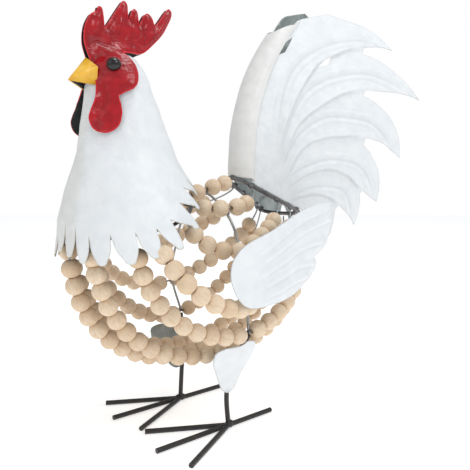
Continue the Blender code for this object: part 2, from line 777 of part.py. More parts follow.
def centre_on_floor():
    """Bring the middle of the whole figure's footprint over the origin, toes on the floor."""
    corners = [vert.co for thing in bpy.data.objects for vert in thing.data.vertices]
    low = [min(co[axis] for co in corners) for axis in range(3)]
    high = [max(co[axis] for co in corners) for axis in range(3)]
    shift = Vector((-(low[0] + high[0]) / 2, -(low[1] + high[1]) / 2, -low[2]))
    for thing in bpy.data.objects:
        thing.data.transform(Matrix.Translation(shift))


build()
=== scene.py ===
"""A rooster of painted sheet metal and threaded wooden beads, dressed for its picture.

All shapes are drawn in millimetres from the point on the floor between the feet: +X is the
rooster's left, it faces -Y, and Z is up. They are shrunk to metres when a piece is finished.
"""

import math
import random

import bmesh
import bpy
from mathutils import Matrix, Vector, noise
from mathutils.kdtree import KDTree


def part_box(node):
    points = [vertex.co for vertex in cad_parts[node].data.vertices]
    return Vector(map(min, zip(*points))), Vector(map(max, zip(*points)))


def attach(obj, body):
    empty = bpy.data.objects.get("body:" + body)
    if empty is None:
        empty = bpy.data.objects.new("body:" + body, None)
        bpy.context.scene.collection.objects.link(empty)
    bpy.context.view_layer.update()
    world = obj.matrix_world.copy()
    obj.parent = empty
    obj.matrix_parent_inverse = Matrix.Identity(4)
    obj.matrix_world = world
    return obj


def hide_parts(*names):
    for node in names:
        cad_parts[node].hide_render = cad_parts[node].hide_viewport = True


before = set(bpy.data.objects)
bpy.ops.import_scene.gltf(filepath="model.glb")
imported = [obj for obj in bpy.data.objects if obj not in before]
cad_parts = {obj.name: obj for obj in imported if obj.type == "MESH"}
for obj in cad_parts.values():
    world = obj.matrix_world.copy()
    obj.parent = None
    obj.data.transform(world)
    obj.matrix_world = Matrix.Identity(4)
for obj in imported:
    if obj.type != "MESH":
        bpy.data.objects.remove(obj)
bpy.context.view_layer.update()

MM = 0.001
FRONT_TOE = 75.0
BACK_TOE = 52.5
LEG_SPREAD = 40.0
LEG_ROD = 2.25
GAP = 0.3

# Beads touch at their drilled ends, which are flattened, so they sit closer than their size.
BEAD = 16.0
BEAD_PITCH = 14.4
THREAD = 0.8
HEM_ROD = 1.5
ARCH_ROD = 1.2
TAIL_ROD = 2.0

toe_low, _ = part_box("left_middle_and_back_toe")
_, left_leg_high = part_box("left_leg_rod")
right_leg_low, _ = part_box("right_leg_rod")
HOME = Vector(((left_leg_high.x + right_leg_low.x) / 2, toe_low.y + FRONT_TOE * MM, 0.0))


# Small helpers.

def clamp(value, low=0.0, high=1.0):
    return min(max(value, low), high)


def ease(value):
    value = clamp(value)
    return value * value * (3 - 2 * value)


def mix(a, b, share):
    return a + (b - a) * share


def rumple(point, size, seed=0.0):
    """Smooth noise between -1 and 1 whose bumps are about `size` millimetres wide."""
    return noise.noise(Vector(point) / size + Vector((seed, 7.3 * seed, -3.1 * seed)))


def smooth_path(points, per_span=8, closed=False):
    """Points on a Catmull-Rom curve through the given ones."""
    points = [Vector(point) for point in points]
    count = len(points)
    path = []
    for i in range(count if closed else count - 1):
        if closed:
            a, b, c, d = (points[(i + k - 1) % count] for k in range(4))
        else:
            a, b, c, d = (points[clamp(i + k - 1, 0, count - 1)] for k in range(4))
        for k in range(per_span):
            t = k / per_span
            path.append(0.5 * (2 * b + (c - a) * t + (2 * a - 5 * b + 4 * c - d) * t * t
                               + (3 * b - a - 3 * c + d) * t ** 3))
    if not closed:
        path.append(points[-1].copy())
    return path


def outline_of(*runs, per_span=6):
    """Closed outline from smooth runs that meet at corners."""
    points = []
    for run in runs:
        points += smooth_path([(a, b, 0.0) for a, b in run], per_span)[:-1]
    return [(point.x, point.y) for point in points]


# Finishes.

def add(tree, kind, inputs=None, **settings):
    """A node with its settings; an input is a number, a colour or another node's socket."""
    node = tree.nodes.new("ShaderNode" + kind)
    for key, value in settings.items():
        setattr(node, key, value)
    for key, value in (inputs or {}).items():
        if isinstance(value, bpy.types.NodeSocket):
            tree.links.new(value, node.inputs[key])
        else:
            node.inputs[key].default_value = value
    return node


def blended(tree, factor, first, second, kind="MIX"):
    """Colour mixed from `first` to `second` by `factor`."""
    node = add(tree, "Mix", data_type="RGBA", blend_type=kind)
    for key, value in ((0, factor), (6, first), (7, second)):
        if isinstance(value, bpy.types.NodeSocket):
            tree.links.new(value, node.inputs[key])
        elif key == 0:
            node.inputs[key].default_value = value
        else:
            node.inputs[key].default_value = (*value, 1.0)
    return node.outputs[2]


def ranged(tree, value, low, high, to_low, to_high):
    node = add(tree, "MapRange", {"Value": value, "From Min": low, "From Max": high,
                                  "To Min": to_low, "To Max": to_high})
    return node.outputs["Result"]


def worked_out(tree, operation, *values):
    """Result of one sum on numbers or sockets."""
    return add(tree, "Math", dict(enumerate(values)), operation=operation).outputs[0]


def scale_for(tree, size):
    """Texture scale that makes bumps `size` millimetres wide."""
    return worked_out(tree, "DIVIDE", 1.0, worked_out(tree, "MULTIPLY", size, MM))


def effect_group(name, numbers, results):
    """Shader group with number inputs and the named outputs."""
    group = bpy.data.node_groups.new(name, "ShaderNodeTree")
    for label, preset in numbers.items():
        socket = group.interface.new_socket(label, in_out="INPUT", socket_type="NodeSocketFloat")
        socket.default_value = preset
    for label in results:
        group.interface.new_socket(label, in_out="OUTPUT", socket_type="NodeSocketFloat")
    return group, group.nodes.new("NodeGroupInput"), group.nodes.new("NodeGroupOutput")


def hammering_group():
    """Soft hammer marks of hand-beaten sheet: Height for a bump, Tone for colour."""
    group, given, result = effect_group("hammered_sheet", {"Size": 14.0, "Fine": 60.0},
                                        ("Height", "Tone"))
    place = add(group, "TexCoord").outputs["Object"]
    scale = scale_for(group, given.outputs["Size"])
    fine = worked_out(group, "MULTIPLY", scale, given.outputs["Fine"])
    marks = add(group, "TexVoronoi", {"Vector": place, "Scale": scale, "Randomness": 1.0,
                                      "Smoothness": 1.0}, feature="SMOOTH_F1")
    waves, peel = (add(group, "TexNoise", {"Vector": place, "Scale": size, "Detail": 2.0})
                   .outputs["Fac"] for size in (scale, fine))
    dents = worked_out(group, "MULTIPLY_ADD", marks.outputs["Distance"], 0.6, waves)
    height = worked_out(group, "MULTIPLY_ADD", peel, 0.02, dents)
    group.links.new(height, result.inputs["Height"])
    group.links.new(waves, result.inputs["Tone"])
    return group


def rim_group():
    """Mask along cut edges, from the distance to the rim: wear on white, a painted highlight on
    red.
    """
    group, given, result = effect_group("rim_wear_and_highlight", {"Reach": 1.2, "Raggedness": 0.8}, ("Mask",))
    rim = add(group, "Attribute", attribute_name="rim").outputs["Fac"]
    place = add(group, "TexCoord").outputs["Object"]
    rough = add(group, "TexNoise", {"Vector": place, "Scale": 260.0, "Detail": 3.0})
    wander = worked_out(group, "MULTIPLY", rough.outputs["Fac"], given.outputs["Raggedness"])
    reach = worked_out(group, "ADD", given.outputs["Reach"], wander)
    reach = worked_out(group, "SUBTRACT", reach, 0.5)
    group.links.new(ranged(group, rim, 0.0, reach, 1.0, 0.0), result.inputs["Mask"])
    return group


def handling_group():
    """Faint smudges and rubbed places: Mask between 0 and 1."""
    group, given, result = effect_group("handled", {"Size": 40.0}, ("Mask",))
    place = add(group, "TexCoord").outputs["Object"]
    cloud = add(group, "TexNoise", {"Vector": place, "Detail": 6.0, "Roughness": 0.65,
                                    "Scale": scale_for(group, given.outputs["Size"])})
    group.links.new(ranged(group, cloud.outputs["Fac"], 0.42, 0.72, 0.0, 1.0),
                    result.inputs["Mask"])
    return group


HAMMERED = hammering_group()
RIM_WEAR_AND_HIGHLIGHT = rim_group()
HANDLED = handling_group()


def use(tree, group, **numbers):
    node = add(tree, "Group", node_tree=group)
    for label, value in numbers.items():
        node.inputs[label].default_value = value
    return node.outputs


def new_finish(name, **constants):
    slot = bpy.data.materials.new(name)
    slot.use_nodes = True
    shader = slot.node_tree.nodes["Principled BSDF"]
    for label, value in constants.items():
        shader.inputs[label.replace("_", " ")].default_value = value
    return slot, slot.node_tree, shader


def wire_up(tree, shader, colour, roughness, height=None, strength=0.3, depth=0.0005):
    tree.links.new(colour, shader.inputs["Base Color"])
    tree.links.new(roughness, shader.inputs["Roughness"])
    if height is not None:
        bump = add(tree, "Bump", {"Height": height, "Strength": strength, "Distance": depth})
        tree.links.new(bump.outputs["Normal"], shader.inputs["Normal"])


def white_paint(name, coat, shade, rim_wear_and_painted_shading_colour):
    """Satin white over beaten sheet, greyer in marks, thin along cut edges, with painted shade
    mixed in.
    """
    slot, tree, shader = new_finish(name, Metallic=0.0, Coat_Weight=0.12, Coat_Roughness=0.3)
    marks = use(tree, HAMMERED, Size=11.0)
    smudge = use(tree, HANDLED, Size=45.0)["Mask"]
    colour = blended(tree, ranged(tree, marks["Tone"], 0.35, 0.75, 0.0, 1.0), coat, shade)
    colour = blended(tree, ranged(tree, smudge, 0.0, 1.0, 0.0, 0.35), colour, shade)
    rim_wear_and_highlight_mask = use(tree, RIM_WEAR_AND_HIGHLIGHT, Reach=0.7, Raggedness=0.9)["Mask"]
    colour = blended(tree, ranged(tree, rim_wear_and_highlight_mask, 0.0, 1.0, 0.0, 0.65), colour, rim_wear_and_painted_shading_colour)
    # Painted shade from the sheet's shading layer: creases and laps darker, the cape front warmer.
    groove = add(tree, "Attribute", attribute_name="groove").outputs["Fac"]
    colour = blended(tree, ranged(tree, groove, 0.0, 1.0, 0.0, 0.5), colour, rim_wear_and_painted_shading_colour)
    rough = ranged(tree, smudge, 0.0, 1.0, 0.42, 0.6)
    wire_up(tree, shader, colour, rough, marks["Height"], 0.6, 0.002)
    return slot


def red_enamel():
    """Thick glossy red with pale wet-looking sheen and a painted highlight along the rim."""
    slot, tree, shader = new_finish("red_enamel", Metallic=0.0, Coat_Weight=0.6,
                                    Coat_Roughness=0.2, Specular_IOR_Level=0.15)
    marks = use(tree, HAMMERED, Size=8.0, Fine=9.0)
    # The third colour is the painted highlight along the rim.
    deep, fresh, rim = (0.27, 0.003, 0.008), (0.43, 0.006, 0.013), (0.74, 0.012, 0.024)
    colour = blended(tree, ranged(tree, marks["Tone"], 0.3, 0.7, 0.0, 1.0), deep, fresh)
    # Painted highlight: the red is brightened along the cut edges.
    rim_wear_and_highlight_mask = use(tree, RIM_WEAR_AND_HIGHLIGHT, Reach=1.3, Raggedness=0.7)["Mask"]
    colour = blended(tree, ranged(tree, rim_wear_and_highlight_mask, 0.0, 1.0, 0.0, 0.9), colour, rim)
    smudge = use(tree, HANDLED, Size=12.0)["Mask"]
    rough = ranged(tree, smudge, 0.0, 1.0, 0.22, 0.42)
    wire_up(tree, shader, colour, rough, marks["Height"], 0.65, 0.0022)
    return slot


def bare_sheet(name, light, dark, metallic=0.6):
    """Unpainted back of the sheet: dull grey with cloudy spangle."""
    slot, tree, shader = new_finish(name, Metallic=metallic)
    marks = use(tree, HAMMERED, Size=10.0)
    smudge = use(tree, HANDLED, Size=18.0)["Mask"]
    colour = blended(tree, smudge, light, dark)
    colour = blended(tree, ranged(tree, marks["Tone"], 0.4, 0.8, 0.0, 0.6), colour, dark)
    wire_up(tree, shader, colour, ranged(tree, smudge, 0.0, 1.0, 0.45, 0.65), marks["Height"],
            0.3, 0.0008)
    return slot


def rod_paint(name, base, edge):
    """Black brushed paint on rod with brown showing through along the rubbed places."""
    slot, tree, shader = new_finish(name, Metallic=0.0)
    smudge = use(tree, HANDLED, Size=9.0)["Mask"]
    streak = use(tree, HANDLED, Size=3.0)["Mask"]
    colour = blended(tree, worked_out(tree, "MULTIPLY", smudge, streak), base, edge)
    marks = use(tree, HAMMERED, Size=3.5, Fine=6.0)
    wire_up(tree, shader, colour, ranged(tree, smudge, 0.0, 1.0, 0.38, 0.6),
            marks["Height"], 0.4, 0.0005)
    return slot


def steel_wire(name, light, dark, brown):
    """Drawn steel, grey with darker heat marks and a little brown."""
    slot, tree, shader = new_finish(name, Metallic=0.85)
    smudge = use(tree, HANDLED, Size=14.0)["Mask"]
    spots = use(tree, HANDLED, Size=4.0)["Mask"]
    colour = blended(tree, smudge, light, dark)
    colour = blended(tree, ranged(tree, spots, 0.5, 1.0, 0.0, 0.6), colour, brown)
    marks = use(tree, HAMMERED, Size=3.0, Fine=5.0)
    wire_up(tree, shader, colour, ranged(tree, smudge, 0.0, 1.0, 0.35, 0.6), marks["Height"],
            0.3, 0.0004)
    return slot


def yellow_paint():
    slot, tree, shader = new_finish("yellow_beak_paint", Metallic=0.0, Coat_Weight=0.25,
                                    Coat_Roughness=0.25)
    marks = use(tree, HAMMERED, Size=6.0, Fine=12.0)
    colour = blended(tree, ranged(tree, marks["Tone"], 0.35, 0.7, 0.0, 1.0),
                     (0.93, 0.55, 0.045), (0.82, 0.42, 0.03))
    smudge = use(tree, HANDLED, Size=8.0)["Mask"]
    wire_up(tree, shader, colour, ranged(tree, smudge, 0.0, 1.0, 0.32, 0.5), marks["Height"],
            0.35, 0.0006)
    return slot


def bead_wood():
    """Pale turned wood: each bead has its own tone, a long grain and pores."""
    slot, tree, shader = new_finish("turned_bead_wood", Metallic=0.0)
    grain = add(tree, "Attribute", attribute_name="grain").outputs["Vector"]
    tone = add(tree, "Attribute", attribute_name="tone").outputs["Fac"]
    stretched = add(tree, "Mapping", {"Vector": grain, "Scale": (1.0, 1.0, 0.16)})
    rings = add(tree, "TexNoise", {"Vector": stretched.outputs["Vector"], "Scale": 0.42,
                                   "Detail": 4.0, "Roughness": 0.6, "Distortion": 0.6})
    pores = add(tree, "TexNoise", {"Vector": stretched.outputs["Vector"], "Scale": 3.2,
                                   "Detail": 3.0, "Roughness": 0.7})
    pale, warm, brown = (0.80, 0.655, 0.49), (0.67, 0.49, 0.32), (0.36, 0.21, 0.11)
    colour = blended(tree, ranged(tree, tone, 0.0, 1.0, 0.0, 0.75), pale, warm)
    colour = blended(tree, ranged(tree, rings.outputs["Fac"], 0.44, 0.66, 0.0, 0.8), colour, warm)
    colour = blended(tree, ranged(tree, pores.outputs["Fac"], 0.58, 0.70, 0.0, 0.6), colour, brown)
    rough = ranged(tree, rings.outputs["Fac"], 0.3, 0.7, 0.55, 0.72)
    wire_up(tree, shader, colour, rough, pores.outputs["Fac"], 0.25, 0.0003)
    return slot


def eye_glass():
    slot, tree, shader = new_finish("black_eye_glass", Metallic=0.0, Coat_Weight=0.4,
                                    Coat_Roughness=0.12, Specular_IOR_Level=0.3)
    smudge = use(tree, HANDLED, Size=6.0)["Mask"]
    colour = blended(tree, smudge, (0.008, 0.008, 0.009), (0.02, 0.02, 0.022))
    wire_up(tree, shader, colour, ranged(tree, smudge, 0.0, 1.0, 0.06, 0.14))
    return slot


COOL_COATS = (0.80, 0.825, 0.845), (0.735, 0.765, 0.79)
COOL_WHITE = white_paint("white_side_paint", *COOL_COATS, (0.50, 0.52, 0.54))
# The neck's third colour serves both its rim wear and the painted warm shade on the cape's front.
NECK_WHITE = white_paint("white_neck_paint", *COOL_COATS, (0.62, 0.57, 0.45))
# A warmer, greyer copy of the white for the tail's front band: painted shade where it turns to the
# front.
FRONT_SHADED_WHITE = white_paint("white_paint_front_shaded", (0.79, 0.79, 0.775), (0.73, 0.73, 0.715),
                         (0.50, 0.50, 0.49))
RED = red_enamel()
BLACK_BACK = bare_sheet("black_primer_back", (0.030, 0.032, 0.034), (0.012, 0.012, 0.013), 0.1)
GREY_BACK = bare_sheet("bare_sheet_back", (0.42, 0.47, 0.46), (0.24, 0.27, 0.27))
DARK_BACK = bare_sheet("smoked_sheet_back", (0.16, 0.165, 0.17), (0.07, 0.07, 0.072), 0.4)
YELLOW = yellow_paint()
BLACK_ROD = rod_paint("black_rod_paint", (0.018, 0.018, 0.02), (0.085, 0.05, 0.03))
STEEL = steel_wire("grey_wire", (0.42, 0.43, 0.43), (0.16, 0.16, 0.165), (0.16, 0.11, 0.08))
DARK_STEEL = steel_wire("welded_wire", (0.20, 0.20, 0.205), (0.045, 0.045, 0.05),
                        (0.13, 0.085, 0.06))
WOOD = bead_wood()
GLASS = eye_glass()


# Finishing a piece.

def finish(mesh, name, coats, node, crease=38.0):
    """Shrink the drawing to metres, stand it at the feet's middle and hand it to the frame."""
    bmesh.ops.scale(mesh, vec=(MM, MM, MM), verts=mesh.verts)
    bmesh.ops.translate(mesh, vec=HOME, verts=mesh.verts)
    data = bpy.data.meshes.new(name)
    mesh.to_mesh(data)
    mesh.free()
    data.shade_smooth()
    data.set_sharp_from_angle(angle=math.radians(crease))
    for coat in coats:
        data.materials.append(coat)
    piece = bpy.data.objects.new(name, data)
    bpy.context.collection.objects.link(piece)
    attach(piece, "root")
    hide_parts(node)
    return piece


def give_wall(piece, wall):
    """Sheet thickness, laid on behind the drawn face; the back takes the second coat."""
    shell = piece.modifiers.new("sheet", "SOLIDIFY")
    shell.thickness = wall * MM
    shell.offset = -1.0
    shell.use_even_offset = True
    shell.use_quality_normals = True
    shell.material_offset = 1
    shell.material_offset_rim = 0
    return piece


def mirrored(mesh):
    twin = mesh.copy()
    bmesh.ops.scale(twin, vec=(-1, 1, 1), verts=twin.verts)
    bmesh.ops.reverse_faces(twin, faces=twin.faces)
    return twin


def both_sides(mesh):
    """The left piece as drawn, and the right one as its mirror image."""
    return ("left", mesh), ("right", mirrored(mesh))


def finder_of(spots):
    """Quick search for the nearest of the given points."""
    finder = KDTree(len(spots))
    for k, spot in enumerate(spots):
        finder.insert(spot, k)
    finder.balance()
    return finder


def along(points, step=0.6):
    """Finder of the nearest point on a line drawn through flat points: distance and side."""
    path = smooth_path([(a, b, 0.0) for a, b in points], 10)
    spots, headings = [], []
    for start, end in zip(path, path[1:]):
        span = end - start
        for k in range(max(1, int(span.length / step))):
            spots.append(start + span * (k * step / max(span.length, step)))
            headings.append(span.normalized())
    finder = finder_of(spots)
    total = len(spots)

    def measure(a, b):
        """Signed distance (positive on the left of the line) and share of its length."""
        spot, k, distance = finder.find((a, b, 0.0))
        heading = headings[k]
        side = heading.x * (b - spot.y) - heading.y * (a - spot.x)
        return math.copysign(distance, side), k / total

    return measure


def sheet(outline, surface, relief, step, holes=(), seam=False, painted_shading_at=None):
    """A blank of sheet cut to `outline`, bent to `surface` and beaten out by `relief`.

    Its faces look outwards; the wall is laid on behind them later. `seam` is where a rolled
    sheet closes, and the last argument gives the painted shade and light put into the paint.
    """
    blank = bmesh.new()
    for ring in (outline, *holes):
        corners = [blank.verts.new((a, b, 0.0)) for a, b in ring]
        for k, corner in enumerate(corners):
            blank.edges.new((corner, corners[(k + 1) % len(corners)]))
    bmesh.ops.triangle_fill(blank, use_beauty=True, edges=blank.edges[:], normal=(0, 0, 1))
    inside = [face for face in blank.faces if face.normal.z < 0]
    bmesh.ops.reverse_faces(blank, faces=inside)
    for axis in (0, 1):
        values = [point[axis] for point in outline]
        low, high = min(values), max(values)
        cuts = max(1, round((high - low) / step))
        across = Vector((0.0, 0.0, 0.0))
        across[axis] = 1.0
        for k in range(1, cuts):
            bmesh.ops.bisect_plane(blank, geom=blank.verts[:] + blank.edges[:] + blank.faces[:],
                                   dist=0.02, plane_co=across * mix(low, high, k / cuts),
                                   plane_no=across)
    bmesh.ops.dissolve_limit(blank, angle_limit=0.001, verts=blank.verts[:], edges=[
        edge for edge in blank.edges if not edge.is_boundary and not level(edge)])
    finder = finder_of([(mix(a, c, part / 4), mix(b, d, part / 4), 0.0)
                        for ring in (outline, *holes)
                        for (a, b), (c, d) in zip(ring, ring[1:] + ring[:1])
                        for part in range(4)])
    rim = blank.verts.layers.float.new("rim")
    groove = blank.verts.layers.float.new("groove")
    for vert in blank.verts:
        a, b = vert.co.x, vert.co.y
        # Painted shade and light for the paint, one value for each vertex.
        vert[groove] = painted_shading_at(a, b) if painted_shading_at else 0.0
        _, _, off = finder.find((a, b, 0.0))
        vert[rim] = 9.0 if seam and b > 0 and abs(abs(a) - seam) < 0.1 else off
        point = surface(a, b)
        out = (surface(a + 0.4, b) - surface(a - 0.4, b)).cross(
            surface(a, b + 0.4) - surface(a, b - 0.4)).normalized()
        vert.co = point + out * relief(a, b, off)
    return blank


def level(edge):
    """True for a blank's cuts, which run along one of its two directions."""
    span = edge.verts[1].co - edge.verts[0].co
    return min(abs(span.x), abs(span.y)) < 0.001


def bar(path, thickness, closed=False, roundness=3):
    """Round bar bent along `path`."""
    line = bpy.data.curves.new("bar", "CURVE")
    line.dimensions = "3D"
    line.bevel_depth = thickness
    line.bevel_resolution = roundness
    line.use_fill_caps = not closed
    spline = line.splines.new("POLY")
    spline.points.add(len(path) - 1)
    for spot, point in zip(spline.points, path):
        spot.co = (*point, 1.0)
    spline.use_cyclic_u = closed
    holder = bpy.data.objects.new("bar", line)
    data = bpy.data.meshes.new_from_object(holder)
    mesh = bmesh.new()
    mesh.from_mesh(data)
    bpy.data.objects.remove(holder)
    bpy.data.curves.remove(line)
    bpy.data.meshes.remove(data)
    bmesh.ops.remove_doubles(mesh, verts=mesh.verts, dist=0.001)
    bmesh.ops.recalc_face_normals(mesh, faces=mesh.faces)
    return mesh


def add_blob(mesh, centre, size, seed, flat=(1.0, 1.0, 1.0), coat=0):
    """Lump of weld metal."""
    made = bmesh.ops.create_icosphere(mesh, subdivisions=2, radius=1.0)["verts"]
    for vert in made:
        swell = 1 + 0.22 * rumple(vert.co, 0.7, seed)
        vert.co = Vector(centre) + Vector((vert.co[i] * flat[i] * swell * size for i in range(3)))
    for face in {face for vert in made for face in vert.link_faces}:
        face.material_index = coat


def merge(mesh, other):
    """Add a second drawing to the first."""
    data = bpy.data.meshes.new("part")
    other.to_mesh(data)
    other.free()
    mesh.from_mesh(data)
    bpy.data.meshes.remove(data)
    return mesh


# Neck cape.

CAPE_SECTIONS = (
    (327, -82, 6), (323, -82.5, 13.5), (314, -83.5, 21.5), (298, -83.7, 27.5),
    (240, -76.6, 43.6), (215, -72.5, 55.5), (190, -67.2, 66.5), (150, -57, 80))
CAPE_NARROW = 0.9
CAPE_PINCH = 0.3
CAPE_WALL = 1.0
HEM_NOTCHES = ((7, 190), (18.5, 187), (30, 181), (45, 181.5), (61, 183),
               (75, 186), (87, 192), (101, 205), (115, 217), (131, 225),
               (148, 229), (165, 232))
HEM_TIPS = ((13, 164), (25, 160), (38, 158.8), (54.9, 159.8), (69.4, 163.8),
            (86.4, 169.4), (106, 184), (121.5, 199.5), (139, 211), (153, 215.5),
            (166.5, 218))


def cape_section(z):
    z = clamp(z, CAPE_SECTIONS[-1][0], CAPE_SECTIONS[0][0])
    for high, low in zip(CAPE_SECTIONS, CAPE_SECTIONS[1:]):
        if z >= low[0]:
            t = (z - low[0]) / (high[0] - low[0])
            return mix(low[1], high[1], t), mix(low[2], high[2], t)
    return CAPE_SECTIONS[-1][1:]


def cape_pinch(z):
    return CAPE_PINCH * clamp((z - 225.0) / 30.0)


def cape_point(turn, z, inset=0.0):
    middle, half = cape_section(z)
    half -= inset
    ahead = math.cos(turn)
    width = CAPE_NARROW * half * (1 - cape_pinch(z) * max(ahead, 0.0))
    return Vector((width * math.sin(turn), middle - half * ahead, z))


def cape_half_width(y, z, outset=0.0):
    middle, half = cape_section(z)
    half += outset
    ahead = clamp((middle - y) / half, -0.985, 0.985)
    return (CAPE_NARROW * half * math.sqrt(1 - ahead ** 2)
            * (1 - cape_pinch(z) * max(ahead, 0.0)))


def strip(before, tip, after):
    """Edge of one hem strip from notch to notch: a petal with bowed sides and a rounded end."""
    width = min(0.22 * (after[0] - before[0]), 4.0)
    high = tip[1] + 0.85 * width
    bow = 0.09 * (after[0] - before[0])

    def edge(corner, way):
        return [(mix(corner[0], tip[0] + way * width, k / 6)
                 + way * bow * math.sin(math.pi * (k / 6) ** 1.3), mix(corner[1], high, k / 6))
                for k in range(6)]

    end = [(tip[0] + width * math.cos(math.pi * (1 + k / 12)),
            high + 0.85 * width * math.sin(math.pi * (1 + k / 12))) for k in range(13)]
    return edge(before, -1) + end + edge(after, 1)[:0:-1]


# Width of one degree of the hem, in the flat.
DEGREE = 1.15


def neck_cape():
    notches = [(a * DEGREE, b) for a, b in HEM_NOTCHES]
    tips = [(a * DEGREE, b) for a, b in HEM_TIPS]
    across = 180.0 * DEGREE
    edge = []
    near = []
    for before, tip, after in zip(notches, tips, notches[1:]):
        near += strip(before, tip, after)
    last = notches[-1]
    near += strip(last, (across, 219.0), (2 * across - last[0], last[1]))
    near = [point for point in near if point[0] < across - 0.05] + [(across, 219.0)]
    far = [(-a + 0.5 * math.sin(a), b) for a, b in reversed(near)]
    far[0] = (-across, near[-1][1])
    middle = strip((-notches[0][0], notches[0][1]), (0, 167), notches[0])
    edge = far + middle + near
    crown = CAPE_SECTIONS[0][0] - 0.4
    edge += [(across - 2 * across * k / 60, crown) for k in range(61)]

    def surface(a, b):
        turn = a / DEGREE * math.pi / 180.0
        level_of_notches = 183.0 + 24.0 * ease((abs(turn) - 1.2) / 1.6)
        below = clamp((level_of_notches - b) / 24.0)
        out = (1.0 + 5.0 * ease((abs(turn) - 1.4) / 1.5)) * below ** 1.6
        return cape_point(turn, b, -out)

    def relief(a, b, off):
        here = surface(a, b)
        soft = 0.9 * rumple(here, 17.0, 1.0) + 0.45 * rumple(here, 8.0, 2.0)
        return soft * clamp(off / 4.0, 0.25) * clamp((crown - b) / 20.0)

    def front_painted_warm_shade(a, _):
        """Painted light: the front tinted warmer and darker, as it is lit differently from the
        sides.
        """
        return 0.45 * ease((40.0 - abs(a / DEGREE + 16.0)) / 10.0)

    mesh = sheet(edge, surface, relief, 2.2, seam=across, painted_shading_at=front_painted_warm_shade)
    bmesh.ops.remove_doubles(mesh, verts=mesh.verts, dist=0.05)
    piece = finish(mesh, "cape_sheet", (NECK_WHITE, DARK_BACK), "neck_cape")
    return give_wall(piece, CAPE_WALL)


# Head.

COMB_HALF = 1.6
MASK_SHEET = 1.0
WATTLE_OUT = 17.5
EYE_Y, EYE_Z, EYE = -96.0, 312.0, 5.7


def mask_surface(y, z):
    """Outer face of the left mask: cheek round the head, comb upright, wattle hanging."""
    cheek = cape_half_width(y, min(z, 320.0), 3.0) + GAP
    rise = ease((z - 319.0) / 17.0)
    fall = clamp((300.0 - z) / 14.0)
    hang = max(cheek, WATTLE_OUT)
    side = cheek + (hang - cheek) * fall
    return Vector((side + (COMB_HALF - side) * rise + MASK_SHEET, y, z))


def head_masks():
    spikes = (((-102.5, 356.5), (-101, 360), (-98, 359.5), (-96.8, 355)),
              ((-82, 366), (-78.8, 369.3), (-75.8, 367), (-75.2, 361)),
              ((-71.5, 363), (-69.3, 365), (-66.6, 363), (-65.6, 357.5)),
              ((-60.5, 361.5), (-56.8, 364), (-52.8, 361.5), (-51, 357.5)),
              ((-39, 370), (-35.8, 372.3), (-33.3, 370), (-33.8, 365.5)))
    notches = ((-95.8, 344.5), (-74.8, 354.5), (-65, 352.5), (-49.7, 354.8))
    runs = [[(-109.5, 318), (-113.3, 330), (-112.5, 342), (-108, 352), *spikes[0],
             notches[0]]]
    for notch, spike, after in zip(notches, spikes[1:], notches[1:]):
        runs.append([notch, *spike, after])
    runs.append([notches[-1], *spikes[-1], (-37, 359), (-42.5, 349.5), (-51, 340),
                 (-60, 331.5), (-68, 327.5)])
    runs.append([(-68, 327.5), (-77, 326.5), (-86, 324.5)])
    runs.append([(-86, 324.5), (-81.5, 318), (-78.8, 309), (-80.3, 300), (-85, 294),
                 (-91.5, 290.5), (-96, 287.5)])
    runs.append([(-96, 287.5), (-94.9, 280), (-95, 273), (-98.5, 263.5), (-106.5, 258.5),
                 (-114.5, 262), (-117.5, 269), (-116, 275.5), (-112.5, 284),
                 (-109.5, 297), (-108, 309), (-109.5, 318)])
    crease = along([(-111, 327), (-103, 331.5), (-93, 331), (-84, 326.5)])
    fold = along([(-110, 297.5), (-103, 294.5), (-95, 292.5)])
    folds = [along([(y0, z0), (y1, z1)]) for y0, z0, y1, z1 in (
        (-100.5, 356, -104, 338), (-78.5, 364, -86, 340),
        (-69, 361, -72, 341), (-57, 360, -62, 340),
        (-37.5, 366, -52, 342))]

    def relief(y, z, off):
        comb = ease((z - 330.0) / 8.0)
        height = 1.5 * comb * ease(off / 4.0)
        near, share = crease(y, z)
        height -= 1.3 * math.exp(-(near / 1.6) ** 2) * ease(share * 6) * ease((1 - share) * 6)
        near, share = fold(y, z)
        height -= 0.5 * math.exp(-(near / 1.3) ** 2)
        for rib in folds:
            near, share = rib(y, z)
            height += 0.9 * math.exp(-(near / 2.4) ** 2) * ease((1 - share) * 3)
        cheek = math.exp(-(((y + 92.0) / 12.0) ** 2 + ((z - 303.0) / 11.0) ** 2))
        wattle = math.exp(-(((y + 106.0) / 8.0) ** 2 + ((z - 269.0) / 9.0) ** 2))
        height += 1.6 * cheek + 1.4 * wattle
        rough = 0.35 * rumple((y, z, 0.0), 5.0, 4.0) + 0.2 * rumple((y, z, 0.0), 2.2, 5.0)
        return height * ease(off / 2.5) + rough * clamp(off / 1.5, 0.3)

    mesh = sheet(outline_of(*runs, per_span=7)[::-1], mask_surface, relief, 0.9)
    for label, drawing in both_sides(mesh):
        piece = finish(drawing, f"{label}_comb_and_cheek", (RED, BLACK_BACK),
                       f"{label}_head_mask")
        give_wall(piece, MASK_SHEET * 0.9)


